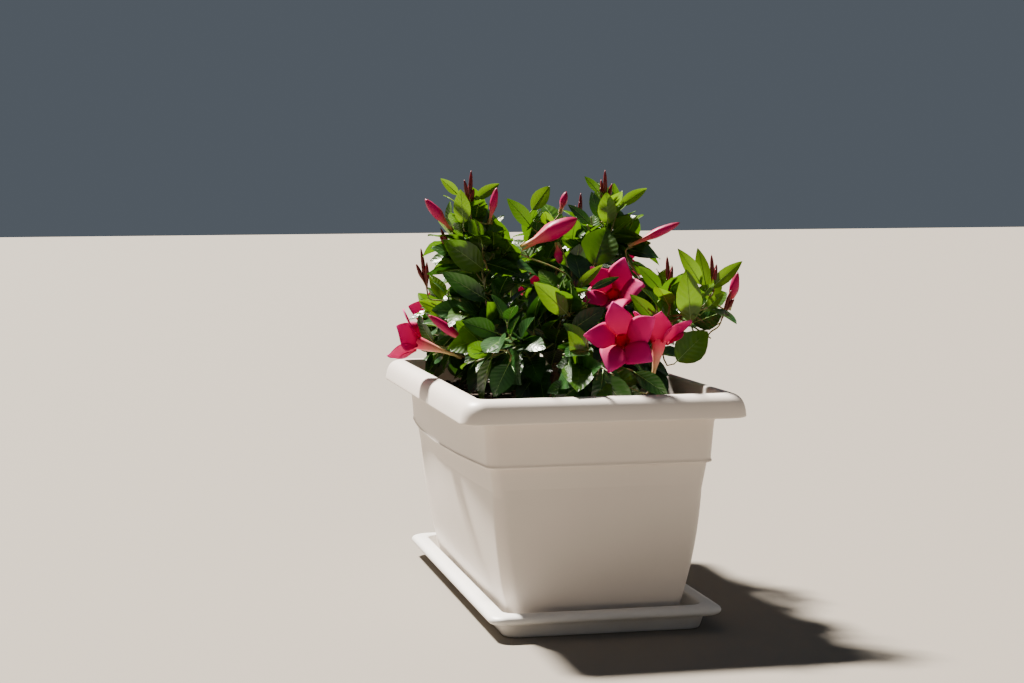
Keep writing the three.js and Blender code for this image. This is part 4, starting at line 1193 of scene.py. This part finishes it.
def petal_places(u, v, mouth, axis, turn, opened, number):
    """A petal that leaves the throat, opens and turns back, one edge over its neighbour."""
    angle = turn + number * 2 * math.pi / PETALS
    outward = np.array(standing_off(axis, math.pi / 2, angle))
    ahead = np.array(axis)
    around = np.cross(ahead, outward)
    lean = petal_lean(u, opened)
    steps = np.linspace(0, 1, PETAL_STEPS + 1)
    turned = petal_lean(steps, opened)
    run_out = np.concatenate([[0], np.cumsum(np.sin(turned[1:]))]) / PETAL_STEPS
    run_up = np.concatenate([[0], np.cumsum(np.cos(turned[1:]))]) / PETAL_STEPS
    far_out = 6 + PETAL_LENGTH * np.interp(u, steps, run_out)
    far_up = -2.5 + PETAL_LENGTH * np.interp(u, steps, run_up)
    half = 0.5 * PETAL_WIDTH * np.interp(u, PETAL_SHARES, PETAL_HALVES)
    sideways = half * v + PETAL_TURN * u * u
    tilt = 0.26 * (1 - 0.4 * u)
    ruffle = 1.3 * np.sin(5 * u + 1.7 * number) * v * np.abs(v) * u
    normal = np.outer(-np.cos(lean), outward) + np.outer(np.sin(lean), ahead)
    return (np.array(mouth) + np.outer(far_out, outward) + np.outer(far_up, ahead)
            + np.outer(sideways * np.cos(tilt), around)
            + (sideways * np.sin(tilt) + ruffle - 1.2 * v * v)[:, None] * normal)


def on_axis(places, foot, axis, turn=0.0):
    """Places whose z axis is laid on a heading."""
    level_way, steep = across_of(axis)
    cosine, sine = math.cos(turn), math.sin(turn)
    x = places[:, 0] * cosine - places[:, 1] * sine
    y = places[:, 0] * sine + places[:, 1] * cosine
    return (np.array(foot) + np.outer(x, level_way) - np.outer(y, steep) + np.outer(places[:, 2], axis))


def flower_pieces():
    petal = sheet_form(12, 8)
    laid = []
    for mouth, axis, turn, opened in flowers:
        for number in range(PETALS):
            laid.append(petal_places(petal[0][:, 0], petal[0][:, 1], mouth, axis, turn, opened, number))
    piece = joined_piece("pink_petals", petal, laid, PETAL, mass_nodes, petal[0][:, :2])
    thick = piece.modifiers.new("petal_thickness", "SOLIDIFY")
    thick.thickness = 0.0006
    thick.offset = 0
    outside = [(0, 0), (1.3, 0), (1.6, 6), (1.9, 16), (2.4, 24), (3.6, 30), (5.2, 37), (6.4, 44), (7.2, 50),
               (FLOWER_MOUTH + 0.4, FLOWER_LENGTH)]
    inside = [(FLOWER_MOUTH + 0.1, FLOWER_LENGTH), (6.8, 50), (5.9, 44), (4.6, 37), (2.6, 31),
              (0, 29)]
    for name, profile, skin in (("flower_tubes", outside, TUBE), ("flower_throats", inside, THROAT)):
        form = spun_form(profile, 20)
        shares = along_only(form[0][:, 2] / FLOWER_LENGTH)
        laid = [on_axis(form[0], mouth - axis * FLOWER_LENGTH, axis, turn)
                for mouth, axis, turn, opened in flowers]
        joined_piece(name, form, laid, skin, mass_nodes, shares)


def bud_pieces():
    profile = [(0, 0), (0.3, 0.01), (0.36, 0.12), (0.42, 0.25), (0.66, 0.38), (0.92, 0.5), (1, 0.6),
               (0.9, 0.72), (0.66, 0.84), (0.34, 0.94), (0, 1)]
    form = spun_form(profile, 10)
    places = form[0]
    bearing = np.arctan2(places[:, 1], places[:, 0])
    for kind, name, skin in (("swollen", "pink_buds", BUD_SKIN), ("young", "young_buds", YOUNG_BUD_SKIN)):
        laid = []
        for foot, tip, radius in [bud[:3] for bud in buds if bud[3] == kind]:
            axis = tip - foot
            furl = 1 + 0.12 * np.cos(5 * bearing + 7 * places[:, 2])
            scaled = places * np.stack([radius * furl, radius * furl, np.full(len(furl), axis.length)], 1)
            laid.append(on_axis(scaled, foot, axis.normalized()))
        joined_piece(name, form, laid, skin, mass_nodes, along_only(places[:, 2]))


def calyx_piece():
    """Five short pointed sepals round the foot of each flower and swollen bud."""
    sepal = sheet_form(3, 2)
    u, v = sepal[0][:, 0], sepal[0][:, 1]
    feet = [(mouth - axis * FLOWER_LENGTH, axis, 1.7) for mouth, axis, turn, opened in flowers]
    feet += [(foot, (tip - foot).normalized(), radius * 0.42) for foot, tip, radius, kind in buds
             if kind == "swollen"]
    laid = []
    for foot, axis, radius in feet:
        for number in range(PETALS):
            outward = standing_off(axis, math.pi / 2, number * 2 * math.pi / PETALS)
            around = axis.cross(outward)
            half = 1.3 * (1 - u) ** 0.6
            standing = radius + 0.5 + 1.2 * u * u
            laid.append(np.array(foot) + np.outer(SEPAL_LENGTH * u, axis) + np.outer(standing, outward)
                        + np.outer(half * v, around))
    joined_piece("green_sepals", sepal, laid, CALYX, mass_nodes)


flower_pieces()
bud_pieces()
calyx_piece()


# Floor, light and camera

FLOOR_HALF = 20
bm = bmesh.new()
bmesh.ops.create_grid(bm, x_segments=1, y_segments=1, size=FLOOR_HALF)
floor = put_in_scene("floor", mesh_from(bm, "floor"))
floor_paint = Finish("floor_paint", {"Roughness": 0.9, "Base Color": (0.21, 0.185, 0.155, 1)})
floor.data.materials.append(floor_paint.material)


def add_lamp(name, kind, place, aim, strength, tint):
    """A lamp of one of Blender's kinds, aimed from its place at a point."""
    lamp = bpy.data.lights.new(name, kind)
    lamp.energy = strength
    lamp.color = tint
    holder = put_in_scene(name, lamp)
    holder.location = place
    holder.rotation_euler = (Vector(aim) - Vector(place)).to_track_quat("-Z", "Y").to_euler()
    return lamp


key = add_lamp("key_light", "SUN", (-1.5, 2.7, 4.7), (0, 0, 0.3), 24, (1.0, 0.94, 0.85))
key.angle = 0.11
front = add_lamp("front_light", "AREA", (-0.6, -3.2, 1.9), (0, 0, 0.2), 4, (1.0, 0.9, 0.8))
front.shape = "DISK"
front.size = 2.4

world = bpy.data.worlds.new("studio_air")
world.use_nodes = True
air = world.node_tree.nodes["Background"].inputs
air["Color"].default_value = (0.7, 0.83, 1.0, 1)
air["Strength"].default_value = 0.125
bpy.context.scene.world = world

YAW, PITCH, ROLL = math.radians(11.833), math.radians(4.256), math.radians(-0.35)
PICTURE_WIDTH, FOCAL_PIXELS, SENSOR = 1024, 2016.9, 36
CAMERA_PLACE = (-0.5092, -2.2275, 0.4574)


def photo_camera():
    ahead = Vector((math.sin(YAW) * math.cos(PITCH), math.cos(YAW) * math.cos(PITCH), -math.sin(PITCH)))
    right = Vector((math.cos(YAW), -math.sin(YAW), 0))
    above = right.cross(ahead)
    turned_right = right * math.cos(ROLL) + above * math.sin(ROLL)
    turned_up = above * math.cos(ROLL) - right * math.sin(ROLL)
    lens = bpy.data.cameras.new("photo_camera")
    lens.sensor_fit = "HORIZONTAL"
    lens.sensor_width = SENSOR
    lens.lens = FOCAL_PIXELS / PICTURE_WIDTH * SENSOR
    camera = put_in_scene("photo_camera", lens)
    turning = Matrix((turned_right, turned_up, -ahead)).transposed().to_4x4()
    camera.matrix_world = Matrix.Translation(CAMERA_PLACE) @ turning
    bpy.context.scene.camera = camera


photo_camera()
